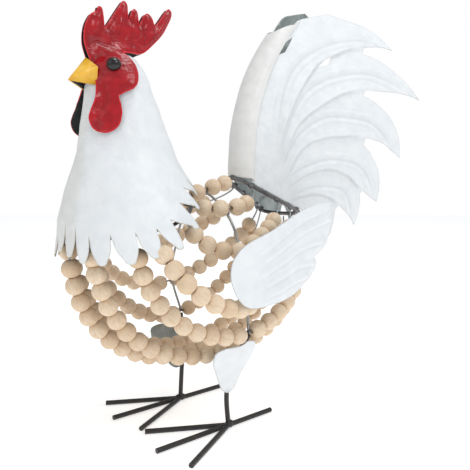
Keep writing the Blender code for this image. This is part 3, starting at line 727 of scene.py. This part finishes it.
def eyes():
    here = mask_surface(EYE_Y, EYE_Z)
    normal = (mask_surface(EYE_Y + 1, EYE_Z) - mask_surface(EYE_Y - 1, EYE_Z)).cross(
        mask_surface(EYE_Y, EYE_Z + 1) - mask_surface(EYE_Y, EYE_Z - 1)).normalized()
    mesh = bmesh.new()
    bmesh.ops.create_uvsphere(mesh, u_segments=32, v_segments=20, radius=EYE)
    low = [vert for vert in mesh.verts if vert.co.z < -1.6]
    bmesh.ops.delete(mesh, geom=low, context="VERTS")
    edges = [edge for edge in mesh.edges if edge.is_boundary]
    bmesh.ops.holes_fill(mesh, edges=edges, sides=0)
    for vert in mesh.verts:
        if vert.co.z > 0:
            vert.co.z *= 0.92
    turn = Vector((0, 0, 1)).rotation_difference(normal)
    bmesh.ops.rotate(mesh, matrix=turn.to_matrix(), verts=mesh.verts)
    bmesh.ops.translate(mesh, vec=here + normal * 0.9, verts=mesh.verts)
    for label, drawing in both_sides(mesh):
        finish(drawing, f"{label}_eye_dome", (GLASS,), f"{label}_eye", 50.0)


def beak():
    """Folded sheet with two flats a side, its folds slightly rounded."""
    tip, crown = Vector((0, -126.0, 300.5)), Vector((0, -111.5, 319.5))
    cheek, lip = Vector((14.0, -107.5, 310.0)), Vector((12.5, -108.0, 296.0))
    mesh = bmesh.new()
    left = Matrix.Scale(-1, 3, (1, 0, 0))
    t, c, k, l, k2, l2 = (mesh.verts.new(p) for p in (tip, crown, cheek, lip, left @ cheek,
                                                      left @ lip))
    for trio in ((t, k, c), (t, l, k), (t, c, k2), (t, k2, l2)):
        mesh.faces.new(trio)
    folds = [edge for edge in mesh.edges if not edge.is_boundary]
    bmesh.ops.bevel(mesh, geom=folds, offset=0.9, segments=3, profile=0.5, affect="EDGES",
                    material=-1)
    bmesh.ops.recalc_face_normals(mesh, faces=mesh.faces)
    rim = mesh.verts.layers.float.new("rim")
    for vert in mesh.verts:
        vert[rim] = 0.2 if vert.is_boundary else 5.0
    piece = finish(mesh, "beak_sheet", (YELLOW, DARK_BACK), "beak", 25.0)
    give_wall(piece, 1.1)


# Bead strings.

RING_MIDDLE, RING_RISE, RING_DROP = 186.0, 19.0, 10.0
RING_IN, RING_FRONT_IN = 10.0, 3.5
TAIL_RING_FRONT, TAIL_RING_BACK = 36.0, 106.0
TAIL_RING_HIGH, TAIL_RING_LOW = 228.0, 193.0
LEG_TOP_Y, LEG_LEAN = 10.5, 2.5
ARCH_Y, ARCH_MIDDLE = 4.0, 140.0


def hem_ring_point(turn, low=0.0):
    ahead, behind = max(math.cos(turn), 0.0), max(-math.cos(turn), 0.0)
    z = RING_MIDDLE + RING_RISE * behind - RING_DROP * ahead
    inside = mix(RING_IN, RING_FRONT_IN, ahead * ahead)
    return cape_point(turn, z, CAPE_WALL + HEM_ROD + inside) - Vector((0, 0, low))


def tail_ring_height(y):
    return mix(TAIL_RING_HIGH, TAIL_RING_LOW,
               (y - TAIL_RING_FRONT) / (TAIL_RING_BACK - TAIL_RING_FRONT))


def string_curve(front_turn, anchor, sag, swing, fullness, over=False):
    """Half of a rounded oval from the hem ring to the tail ring, hung out by `sag`.

    `swing` pushes the front half out and the rear half in by (x, z)."""
    side = -1 if over else 1
    front = hem_ring_point(math.radians(front_turn), side * (HEM_ROD + THREAD + GAP))
    back = Vector((*anchor, tail_ring_height(anchor[1]) - TAIL_ROD - THREAD - GAP))
    middle, half, sag = (front + back) / 2, (front - back) / 2, Vector(sag)
    swing = Vector((swing[0], 0.0, swing[1]))
    points = []
    for k in range(241):
        t = math.pi * k / 240
        c = math.copysign(abs(math.cos(t)) ** (2 / fullness), math.cos(t))
        s = max(math.sin(t), 0.0) ** (2 / fullness)
        points.append(middle + half * c + sag * s + swing * math.sin(2 * t))
    return points


# Where a rod passes a string: its place along the bird, half of the opening between two beads.
CROSS_ARCH = (ARCH_Y, 1.2)
CROSS_BACK = (ARCH_Y, 2.25)
CROSS_LEG = (LEG_TOP_Y, 3.2)

# Strings: front angle on the hem ring, back end (x, y), sag, swing (x, z), fullness,
# opening, bare ends.
STRINGS = {
    "top_bead_string": (174, (13.6, 49), (28, 2.2, -9.3), (4.5, 0.9), 1.84,
                        CROSS_ARCH, (3, 20)),
    "upper_bead_string": (119, (21.7, 76.7), (28.9, -17, -34.9), (-6.9, -3.5), 1.39,
                          CROSS_ARCH, (3, 28)),
    "middle_bead_string": (75.7, (25.5, 92.7), (36, -12, -70.7), (7.4, -0.7), 1.69,
                           CROSS_ARCH, (5, 11)),
    "lower_bead_string": (59.3, (26.6, 98.6), (19, 7.9, -97), (-8.1, -2.6), 1.97,
                          CROSS_LEG, (3, 18)),
    "belly_bead_string": (25.9, (11.4, 107.2), (7.1, 16.4, -115), (-9, -3.1), 2.23,
                          None, (3.5, 44)),
}
KEEL_STRING = (0, (0, TAIL_RING_BACK + 2), (0, 3.8, -116.8), (0, -1.1), 2.23)
KEEL_BARE = (13.5, 58)
BACK_STRING = (180, (0, TAIL_RING_FRONT), (0, 2, 1.5), (0, 0), 2)
BACK_BARE = (8, 2.4)
ARCH_INSIDE = {"middle_bead_string": 8.8, "upper_bead_string": 10.2, "top_bead_string": 6.6}


def back_curve():
    return string_curve(*BACK_STRING, over=True)


def crossing(curve, y=ARCH_Y):
    """Where a string passes the plane of the arch or the top of a leg."""
    return min(curve[20:-20], key=lambda point: abs(point.y - y))


def paired_string(name):
    *shape, opening, bare = STRINGS[name]
    return string_curve(*shape), opening, bare


def leg_crossing():
    curve, (y, _), _ = paired_string("lower_bead_string")
    return crossing(curve, y)


def lengths_along(points):
    total = [0.0]
    for a, b in zip(points, points[1:]):
        total.append(total[-1] + (b - a).length)
    return total


def point_at(curve, lengths, s):
    s = clamp(s, 0.0, lengths[-1])
    for k in range(1, len(lengths)):
        if lengths[k] >= s:
            t = (s - lengths[k - 1]) / (lengths[k] - lengths[k - 1])
            return curve[k - 1].lerp(curve[k], t)
    return curve[-1]


def turned_bead():
    """One bead on the Z axis: a ball with a drilled hole and a small flat at each end."""
    mesh = bmesh.new()
    radius, hole, end = BEAD / 2, 1.7, BEAD_PITCH / 2 - 0.08
    start = math.acos((end - 0.15) / radius)
    half = [(hole, end - 2.0), (hole, end - 0.4), (hole + 0.4, end), (2.8, end)]
    half += [(radius * math.sin(turn), radius * math.cos(turn))
             for turn in (mix(start, math.pi / 2, k / 7) for k in range(7))]
    rounds = half + [(radius, 0.0)] + [(r, -z) for r, z in reversed(half)]
    profile = [mesh.verts.new((r, 0.0, z)) for r, z in rounds]
    profile.append(profile[0])
    edges = [mesh.edges.new(pair) for pair in zip(profile, profile[1:])]
    bmesh.ops.spin(mesh, geom=profile[:-1] + edges, cent=(0, 0, 0), axis=(0, 0, 1),
                   angle=2 * math.pi, steps=22, use_merge=True, dvec=(0, 0, 0))
    bmesh.ops.remove_doubles(mesh, verts=mesh.verts, dist=0.01)
    bmesh.ops.recalc_face_normals(mesh, faces=mesh.faces)
    data = bpy.data.meshes.new("turned_bead")
    mesh.to_mesh(data)
    mesh.free()
    return data


def bead_places(curve, opening, bare):
    """Middles of the beads as lengths along the wire, parted where the arch or a leg passes."""
    lengths = lengths_along(curve)
    front, back = bare
    if opening is None:
        count = int((lengths[-1] - back - front) / BEAD_PITCH)
        return [front + (k + 0.5) * BEAD_PITCH for k in range(count)]
    y, half = opening
    cross = lengths[curve.index(crossing(curve, y))]
    ahead = int((cross - half - front) / BEAD_PITCH)
    behind = int((lengths[-1] - back - cross - half) / BEAD_PITCH)
    return ([cross - half - (ahead - k - 0.5) * BEAD_PITCH for k in range(ahead)]
            + [cross + half + (k + 0.5) * BEAD_PITCH for k in range(behind)])


def bead_string(name, node, curve, opening, bare, side, chance):
    """Beads on their wire."""
    lengths = lengths_along(curve)
    spots = bead_places(curve, opening, bare)
    flip = Vector((side, 1.0, 1.0))
    mesh = bmesh.new()
    grain = mesh.verts.layers.float_vector.new("grain")
    tone = mesh.verts.layers.float.new("tone")
    placed = 0
    for spot in spots:
        mesh.from_mesh(BEAD_MESH)
        mesh.verts.ensure_lookup_table()
        made = mesh.verts[placed:]
        placed = len(mesh.verts)
        centre = point_at(curve, lengths, spot) * flip
        ahead = (point_at(curve, lengths, spot + 3) - point_at(curve, lengths, spot - 3)) * flip
        turn = Vector((0, 0, 1)).rotation_difference(ahead.normalized()).to_matrix()
        turn = turn @ Matrix.Rotation(chance.uniform(0, 2 * math.pi), 3, "Z")
        shift = Vector([chance.uniform(-200, 200) for _ in range(3)])
        shade = chance.random() ** 1.6
        size = chance.uniform(0.975, 1)
        for vert in made:
            vert[grain] = vert.co + shift
            vert[tone] = shade
            vert.co = centre + turn @ (vert.co * size)
    beads = len(mesh.faces)
    merge(mesh, bar([point * flip for point in curve[::4]], THREAD))
    mesh.faces.ensure_lookup_table()
    for face in mesh.faces[beads:]:
        face.material_index = 1
    return finish(mesh, name, (WOOD, STEEL), node, 40.0)


def bead_strings():
    chance = random.Random(16)
    for node in STRINGS:
        for label, side in (("left", 1.0), ("right", -1.0)):
            bead_string(f"{label}_{node}_threaded", f"{label}_{node}", *paired_string(node),
                        side, chance)
    bead_string("keel_beads_threaded", "keel_bead_string", string_curve(*KEEL_STRING), None,
                KEEL_BARE, 1.0, chance)
    bead_string("back_beads_threaded", "back_bead_string", back_curve(), CROSS_BACK, BACK_BARE,
                1.0, chance)


# Legs and feet.

def leg_path():
    top = leg_crossing() - Vector((0.0, 0.0, THREAD + 5 * GAP))
    return smooth_path([(LEG_SPREAD, 0.0, LEG_ROD), (LEG_SPREAD - LEG_LEAN, 0.0, 0.36 * top.z),
                        (LEG_SPREAD + 1.0, 0.45 * LEG_TOP_Y, 0.68 * top.z), top], 10)


def legs_and_feet():
    lift = LEG_ROD * 0.95
    for label, side in (("left", 1.0), ("right", -1.0)):
        flip = Vector((side, 1.0, 1.0))
        leg = bar([point * flip for point in leg_path()], LEG_ROD)
        add_blob(leg, Vector((LEG_SPREAD, 1.2, 3.8)) * flip, 3.4, 3.0 + side, (1.1, 1.1, 0.9))
        add_blob(leg, Vector((LEG_SPREAD + 1.5, -2.0, 3.2)) * flip, 2.6, 5.0 + side)
        finish(leg, f"{label}_leg_bar", (BLACK_ROD,), f"{label}_leg_rod", 50.0)
        for node, turn, ahead, behind in (("middle_and_back_toe", 0.0, FRONT_TOE, BACK_TOE),
                                          ("outer_toe", 29.0, FRONT_TOE, 3.0),
                                          ("inner_toe", -29.0, FRONT_TOE, 3.0)):
            turn = math.radians(turn)
            heading = Vector((math.sin(turn), -math.cos(turn), 0.0))
            joint = Vector((LEG_SPREAD, 0.0, lift))
            path = [joint + heading * s for s in (-behind, -behind + 0.5, 0.0, ahead / 2,
                                                  ahead - 0.5, ahead)]
            toe = bar([point * flip for point in path], LEG_ROD)
            finish(toe, f"{label}_{node}_bar", (BLACK_ROD,), f"{label}_{node}",
                   50.0)


THIGH_LOW, THIGH_RISE, THIGH_FLARE, THIGH_SHEET = 36.0, 44.0, 13.0, 1.0


def thigh_plates():
    outline = [(-26.3, 71), (-24.8, 76.6), (-17, 79), (-6, 79), (4, 79.2), (8.5, 81.9),
               (13, 81.9), (19, 78.4), (17.5, 69.5), (8.6, 52), (4.4, 38.8), (-0.8, 34),
               (-6.5, 35.2), (-11.4, 39.8), (-16.3, 48.1), (-24.6, 63.5)]
    points = smooth_path([(a, b, 0.0) for a, b in outline], 5, closed=True)

    def surface(y, z):
        t = clamp((z - THIGH_LOW) / THIGH_RISE, 0.0, 1.1)
        return Vector((LEG_SPREAD + LEG_ROD + GAP + 0.6 + THIGH_FLARE * t ** 0.9, y, z))

    def relief(y, z, off):
        return 0.9 * ease(off / 9.0) + 0.35 * rumple((y, z, 0.0), 9.0, 8.0) * clamp(off / 3, 0.3)

    mesh = sheet([(p.x, p.y) for p in points][::-1], surface, relief, 1.6)
    for label, drawing in both_sides(mesh):
        piece = finish(drawing, f"{label}_thigh_sheet", (COOL_WHITE, GREY_BACK),
                       f"{label}_thigh_plate")
        give_wall(piece, THIGH_SHEET)


# Tail.

TAIL_HALF, TAIL_START, TAIL_FLARE, TAIL_CURVE = 12.0, 9.0, 0.25, 0.0006
TAIL_SHEET = 0.6
FAR_TAIL_SIZE = 1.055
BAND_DEPTH, BAND_LAP, BAND_TOP = 13.0, 3.0, 377.0


def band_front(z):
    t = max(z - 240.0, 0.0) / 137.0
    return TAIL_RING_FRONT + 0.5 + 4.0 * t + 46.0 * t ** 2.3


def tail_half_width(y, z=TAIL_RING_HIGH):
    back = max(y - band_front(z) - TAIL_START, 0.0)
    return TAIL_HALF + TAIL_FLARE * back + TAIL_CURVE * back * back


def tail_outline():
    spine = [(band_front(z) + 14, z) for z in (236, 262, 290, 315, 338, 358, 374)]
    crown = [(112, 391), (129, 398), (151, 405)]
    feathers = [
        [(151, 405), (172, 401.5), (195, 396), (210, 386), (221, 372)],
        [(221, 372), (210, 374.5), (198, 373.5), (187, 371.5)],
        [(187, 371.5), (183.5, 364)],
        [(183.5, 364), (197, 361), (214, 350.5), (230, 335), (241.5, 316.5)],
        [(241.5, 316.5), (231, 321), (215, 323.5), (198, 324), (181, 324)],
        [(181, 324), (177, 318)],
        [(177, 318), (191, 311), (206, 295.5), (214, 275), (215, 252.5)],
        [(215, 252.5), (207, 259), (197, 267), (186, 271), (177, 272.5)],
        [(177, 272.5), (174, 265.5)],
        [(174, 265.5), (182, 256), (190, 240), (192.5, 223), (189.5, 204.5)],
        [(189.5, 204.5), (184, 208), (178, 212.5), (172.5, 217)],
        [(172.5, 217), (170.5, 212), (170.5, 203), (168, 190), (164.5, 179.5)],
        [(164.5, 179.5), (160.5, 187), (154, 194), (147, 200.5)],
        [(147, 200.5), (143, 196), (141, 184), (138, 172), (133.5, 165)],
        [(133.5, 165), (129, 172), (126, 180), (111, 193)],
    ]
    foot = [(y, tail_ring_height(y) + TAIL_ROD + 0.8)
            for y in (111.0, 95.0, 75.0, 60.0, TAIL_RING_FRONT + 14.5)]
    foot[0] = (111, 193)
    runs = [spine + crown] + feathers + [foot, [foot[-1], spine[0]]]
    return outline_of(*runs, per_span=6)[::-1]


CREASES = [along(line) for line in (
    [(76, 258), (79, 275), (85, 307), (98, 336), (122, 358), (153, 373), (187, 379), (214, 374)],
    [(77, 235), (87, 271), (102, 304), (119, 322), (145, 335), (178, 342), (206, 337), (237, 319)],
    [(81, 227), (91, 255), (105, 276), (132, 292), (164, 293), (188, 286), (211, 256)],
    [(85, 217), (93, 231), (109, 241), (135, 249), (162, 246), (177, 234), (187, 208)],
    [(89, 209), (98, 213), (113, 219), (136, 221), (154, 214), (163, 184)],
)]
LOWER_EDGES = [along(line) for line in (
    [(76, 237), (87, 279), (105, 315), (127, 344), (141, 353), (164, 365), (187, 371)],
    [(80, 227), (93, 267), (110, 290), (145, 313), (162, 320), (181, 323.5)],
    [(84, 221), (104, 256), (127, 269), (154, 273), (177, 272.5)],
    [(87, 213), (96, 223), (113, 233), (135, 238), (156, 231), (171, 216)],
    [(92, 205), (104, 209), (120, 212), (136, 208), (147, 200)],
)]


def tail_relief(y, z, off):
    """Each sickle feather is crowned, creased along its middle and laps over the next."""
    height = 0.0
    for line in CREASES:
        near, share = line(y, z)
        fade = ease(share * 5) * ease((1 - share) * 8)
        height += (1.1 * math.exp(-(near / 5.5) ** 2) - 1.7 * math.exp(-(near / 1.6) ** 2)) * fade
        height += 0.55 * math.cos(near * 1.2) * math.exp(-(near / 8.0) ** 2) * fade
    for line in LOWER_EDGES:
        near, share = line(y, z)
        fade = ease(share * 4)
        if near > -1.0:
            height += 2.0 * ease((near + 1.0) / 1.5) * math.exp(-max(near, 0) / 9.0) * fade
    height += 0.3 * rumple((y, z, 0.0), 22.0, 11.0)
    return height * clamp(off / 2.0, 0.35)


def tail_painted_shade(y, z):
    """Painted shade in the creases and under the laps, for the paint."""
    dark = 0.0
    for line, most in [(line, 0.75) for line in CREASES] + [(line, 1.0) for line in LOWER_EDGES]:
        near, share = line(y, z)
        fade = ease(share * 5) * ease((1 - share) * 6)
        lines = 0.35 * max(math.cos(near * 1.2), 0.0) ** 4 * math.exp(-(near / 7.0) ** 2)
        dark = max(dark, most * math.exp(-(near / 1.3) ** 2) * fade, lines * fade)
    return dark


def tail_plates():
    slit = [(84.5, 352), (90, 360.5), (97, 368), (104, 373), (99.5, 365.5),
            (93, 356)]
    hole = [(128, 344), (142, 348.5), (146.5, 357), (138.5, 353.5)]
    outline = tail_outline()

    def near_surface(y, z):
        return Vector((tail_half_width(y, z) + 0.5 * TAIL_SHEET, y, z))

    def far_surface(y, z):
        foot = tail_ring_height(y) + TAIL_ROD
        grow = 1 + (FAR_TAIL_SIZE - 1) * clamp((z - foot) / 30.0)
        high = foot + (z - foot) * grow
        back = y + (y - TAIL_RING_FRONT) * (grow - 1)
        return Vector((tail_half_width(back, high) + 0.5 * TAIL_SHEET, back, high))

    near = sheet(outline, near_surface, tail_relief, 1.4, (slit[::-1], hole[::-1]),
                 painted_shading_at=tail_painted_shade)
    far = mirrored(sheet(outline, far_surface, tail_relief, 1.8, painted_shading_at=tail_painted_shade))
    for label, drawing in (("left", near), ("right", far)):
        piece = finish(drawing, f"{label}_tail_sheet", (COOL_WHITE, GREY_BACK),
                       f"{label}_tail_plate", 45.0)
        give_wall(piece, TAIL_SHEET)


def tail_band():
    """Front feather: a strip bent round the front of the two plates and lapping over them."""
    half = TAIL_HALF + 2.6
    mesh = bmesh.new()
    bmesh.ops.create_grid(mesh, x_segments=44, y_segments=90, size=1.0)
    rim = mesh.verts.layers.float.new("rim")
    for vert in mesh.verts:
        across, up = vert.co.x, (vert.co.y + 1) / 2
        vert[rim] = min((1 - abs(across)) * 24.0, up * 150.0, (1 - up) * 150.0)
        flat = clamp((abs(across) - 0.8) / 0.2)
        turn = math.radians(90.0) * clamp(abs(across) / 0.8)
        side = math.sin(turn)
        low = tail_ring_height(TAIL_RING_FRONT) + TAIL_ROD + 1.5 - mix(4.0 * side, 7.0, flat)
        high = BAND_TOP + mix(9.0 * side * side, 17.0, flat)
        z = mix(low, high, up)
        y = band_front(z) + BAND_DEPTH * (1 - math.cos(turn)) + BAND_LAP * flat
        x = half * side
        if flat > 0:
            x = mix(x, tail_half_width(y, z) + 0.5 * TAIL_SHEET + 0.9, flat)
        wall = TAIL_SHEET + 0.35 * rumple((across * 20, 0.0, z), 16.0, 21.0)
        vert.co = Vector((math.copysign(x + wall * side, across), y - wall * math.cos(turn), z))
    bmesh.ops.recalc_face_normals(mesh, faces=mesh.faces)
    front = min(mesh.faces, key=lambda face: face.calc_center_median().y)
    if front.normal.y > 0:
        bmesh.ops.reverse_faces(mesh, faces=mesh.faces)
    piece = finish(mesh, "tail_front_sheet", (FRONT_SHADED_WHITE, GREY_BACK),
                   "tail_front_feather", 45.0)
    give_wall(piece, TAIL_SHEET)


# Steel rings and rib.

def tail_ring():
    ahead, back = TAIL_RING_FRONT, TAIL_RING_BACK
    corners = [Vector((x, y, tail_ring_height(y))) for y, x in (
        (ahead, 0.0), (ahead + 4.0, 8.0), (ahead + 13.0, TAIL_HALF + 0.5),
        (75.0, tail_half_width(75.0)), (back - 6.0, tail_half_width(back - 6.0)),
        (back, tail_half_width(back) - 9.0), (back + 2.0, 0.0))]
    other = [Vector((-point.x, point.y, point.z)) for point in reversed(corners[1:-1])]
    mesh = bar(smooth_path(corners + other, 6, closed=True), TAIL_ROD, closed=True)
    for name in STRINGS:
        for side in (1, -1):
            spot = paired_string(name)[0][-1] * Vector((side, 1.0, 1.0))
            add_blob(mesh, spot + Vector((0, 0, 1.6)), 2.3, spot.x, (1.0, 1.2, 0.8))
    for k, (y, size) in enumerate(((52, 2.4), (66, 2), (90, 2.3), (100, 2.6))):
        for side in (1, -1):
            x = side * (tail_half_width(y) - 0.5)
            add_blob(mesh, (x, y, tail_ring_height(y) + 1.8), size, k + side, (0.8, 1.3, 0.8))
    finish(mesh, "tail_ring_welded", (DARK_STEEL,), "tail_base_ring", 50.0)


def hem_ring():
    ring = [hem_ring_point(2 * math.pi * k / 72) for k in range(72)]
    mesh = bar(ring, HEM_ROD, closed=True)
    for turn in (0, 25.9, 59.3, 75.7, 119, 174, 180, 186, 241, 284.3, 300.7, 334.1):
        spot = hem_ring_point(math.radians(turn))
        add_blob(mesh, spot, 2.2, turn, (1.1, 1.1, 0.8))
    finish(mesh, "hem_ring_welded", (DARK_STEEL,), "hem_ring", 50.0)


def arch_rib():
    start = leg_crossing() + Vector((0.0, 0.0, THREAD + 4 * GAP))
    knots = []
    for name, inside in ARCH_INSIDE.items():
        point = crossing(paired_string(name)[0])
        inward = Vector((-point.x, 0.0, ARCH_MIDDLE - point.z)).normalized()
        knots.append(Vector((point.x, ARCH_Y, point.z)) + inward * inside)
    top = crossing(back_curve()).z - THREAD - ARCH_ROD - 5 * GAP
    top = Vector((0.0, ARCH_Y, top))
    bulge = knots[0].lerp(knots[1], 0.5) + Vector((3.0, 0.0, 0.0))
    shoulder = knots[1].lerp(knots[2], 0.5) + Vector((2.0, 0.0, 2.0))
    crown = knots[2].lerp(top, 0.5) + Vector((1.0, 0.0, 2.5))
    side = [start, knots[0], bulge, knots[1], shoulder, knots[2], crown]
    other = [Vector((-point.x, point.y, point.z)) for point in reversed(side)]
    mesh = bar(smooth_path(side + [top] + other, 8), ARCH_ROD)
    for k, knot in enumerate([*knots, top, start]):
        for flip in (1, -1):
            outward = Vector((knot.x, 0.0, knot.z - ARCH_MIDDLE)).normalized() * 1.2
            spot = (knot + outward) * Vector((flip, 1.0, 1.0))
            add_blob(mesh, spot, 2.3, k + flip, (1, 0.9, 1), coat=1)
    finish(mesh, "arch_rib_welded", (STEEL, DARK_STEEL), "arch_rib", 50.0)


# Wing.

WING_OUT = 88.5
WING_BEND = 0.0012
WING_SHEET = 1.0


def wing():
    outline = outline_of(
        [(-33.5, 143), (-34, 152), (-30.5, 161.5), (-21, 170.5), (-9, 176),
         (4, 180.5), (20, 187.5), (37, 195), (58, 201.5), (88, 206)],
        [(88, 206), (91.3, 195), (88.5, 181), (83, 168)],
        [(83, 168), (74, 161), (62, 156)],
        [(62, 156), (66, 149.5), (60, 141), (50, 134.5), (36, 126.5),
         (20, 121.8), (6, 120.2), (-7, 119.3), (-19, 121.8), (-28, 130.5),
         (-33.5, 143)])
    ridges = [along(line) for line in (
        [(-16, 158), (10, 172), (40, 188), (86, 201)],
        [(-14, 150), (14, 164), (44, 179), (88, 190)],
        [(-12, 142), (18, 154), (46, 166), (82, 171)],
        [(-10, 134), (18, 142), (40, 150), (62, 150)],
        [(-6, 127), (14, 131), (34, 137), (52, 140)])]

    def surface(y, z):
        return Vector((WING_OUT - WING_BEND * (y - 10.0) ** 2 + 0.5 * WING_SHEET, y, z))

    def relief(y, z, off):
        dish = -1.8 * math.exp(-(((y - 5.0) / 30.0) ** 2 + ((z - 148.0) / 20.0) ** 2))
        height = 0.6 * ease(off / 6.0) + dish
        for line in ridges:
            near, share = line(y, z)
            height += 1.5 * math.exp(-(near / 2.4) ** 2) * ease(share * 4)
        height += 0.5 * rumple((y, z, 0.0), 12.0, 14.0)
        return height * clamp(off / 3.0, 0.2)

    # Painted shade along one side of each ridge, for the paint.
    def painted_shading_at(y, z):
        return max(0.7 * math.exp(-((line(y, z)[0] + 3.4) / 1.2) ** 2) * ease(line(y, z)[1] * 3)
                   for line in ridges)

    mesh = sheet(outline[::-1], surface, relief, 1.3, painted_shading_at=painted_shading_at)
    piece = finish(mesh, "left_wing_sheet", (COOL_WHITE, GREY_BACK),
                   "left_wing", 45.0)
    give_wall(piece, WING_SHEET)


# Floor, light and camera.

CAMERA_AT = Vector((386.864, -274.384, 209.232))
CAMERA_TURN, CAMERA_DIP = math.radians(50.869), math.radians(4.307)
LENS = 38.3


def stage_and_light():
    mesh = bmesh.new()
    bmesh.ops.create_circle(mesh, cap_ends=True, radius=6.0, segments=64)
    data = bpy.data.meshes.new("floor")
    mesh.to_mesh(data)
    mesh.free()
    floor = bpy.data.objects.new("floor", data)
    bpy.context.collection.objects.link(floor)
    paper, tree, shader = new_finish("white_floor", Roughness=0.9)
    shader.inputs["Base Color"].default_value = (0.93, 0.93, 0.93, 1.0)
    shader.inputs["Specular IOR Level"].default_value = 0.1
    shader.inputs["Emission Color"].default_value = (1.0, 1.0, 1.0, 1.0)
    shader.inputs["Emission Strength"].default_value = 0.46
    data.materials.append(paper)

    world = bpy.data.worlds.new("soft_white")
    bpy.context.scene.world = world
    world.use_nodes = True
    tree = world.node_tree
    soft = tree.nodes["Background"]
    soft.inputs["Color"].default_value = (0.97, 0.985, 1.0, 1.0)
    soft.inputs["Strength"].default_value = 0.56
    paper_white = add(tree, "Background", {"Color": (1, 1, 1, 1), "Strength": 1})
    seen = add(tree, "LightPath").outputs["Is Camera Ray"]
    sky = add(tree, "MixShader", {0: seen, 1: soft.outputs[0], 2: paper_white.outputs[0]})
    tree.links.new(sky.outputs[0], tree.nodes["World Output"].inputs["Surface"])

    for name, at, size, power, tint in (
            ("window_right", (1.4, 0.3, 1.5), 0.7, 7, (0.97, 0.99, 1)),
            ("window_front", (0.2, -1.9, 1.2), 1.2, 3, (1, 0.955, 0.90)),
            ("ceiling", (0.4, 0.1, 2.2), 0.9, 13, (1, 1, 1))):
        glow = bpy.data.lights.new(name, "AREA")
        glow.size = size
        glow.energy = power
        glow.color = tint
        lamp = bpy.data.objects.new(name, glow)
        lamp.location = at
        aim = Vector((0.0, 0.0, 0.2)) - Vector(at)
        lamp.rotation_mode = "QUATERNION"
        lamp.rotation_quaternion = aim.to_track_quat("-Z", "Y")
        bpy.context.collection.objects.link(lamp)
    bpy.context.scene.view_settings.view_transform = "Standard"


def camera():
    lens = bpy.data.cameras.new("camera")
    lens.lens = LENS
    lens.sensor_width = 36.0
    lens.clip_start, lens.clip_end = 0.01, 50.0
    eye = bpy.data.objects.new("camera", lens)
    back = Vector((math.sin(CAMERA_TURN) * math.cos(CAMERA_DIP),
                   -math.cos(CAMERA_TURN) * math.cos(CAMERA_DIP), math.sin(CAMERA_DIP)))
    eye.location = HOME + CAMERA_AT * MM
    eye.rotation_mode = "QUATERNION"
    eye.rotation_quaternion = (-back).to_track_quat("-Z", "Y")
    bpy.context.collection.objects.link(eye)
    bpy.context.scene.camera = eye


BEAD_MESH = turned_bead()
neck_cape()
head_masks()
eyes()
beak()
bead_strings()
legs_and_feet()
thigh_plates()
tail_plates()
tail_band()
tail_ring()
hem_ring()
arch_rib()
wing()
stage_and_light()
camera()
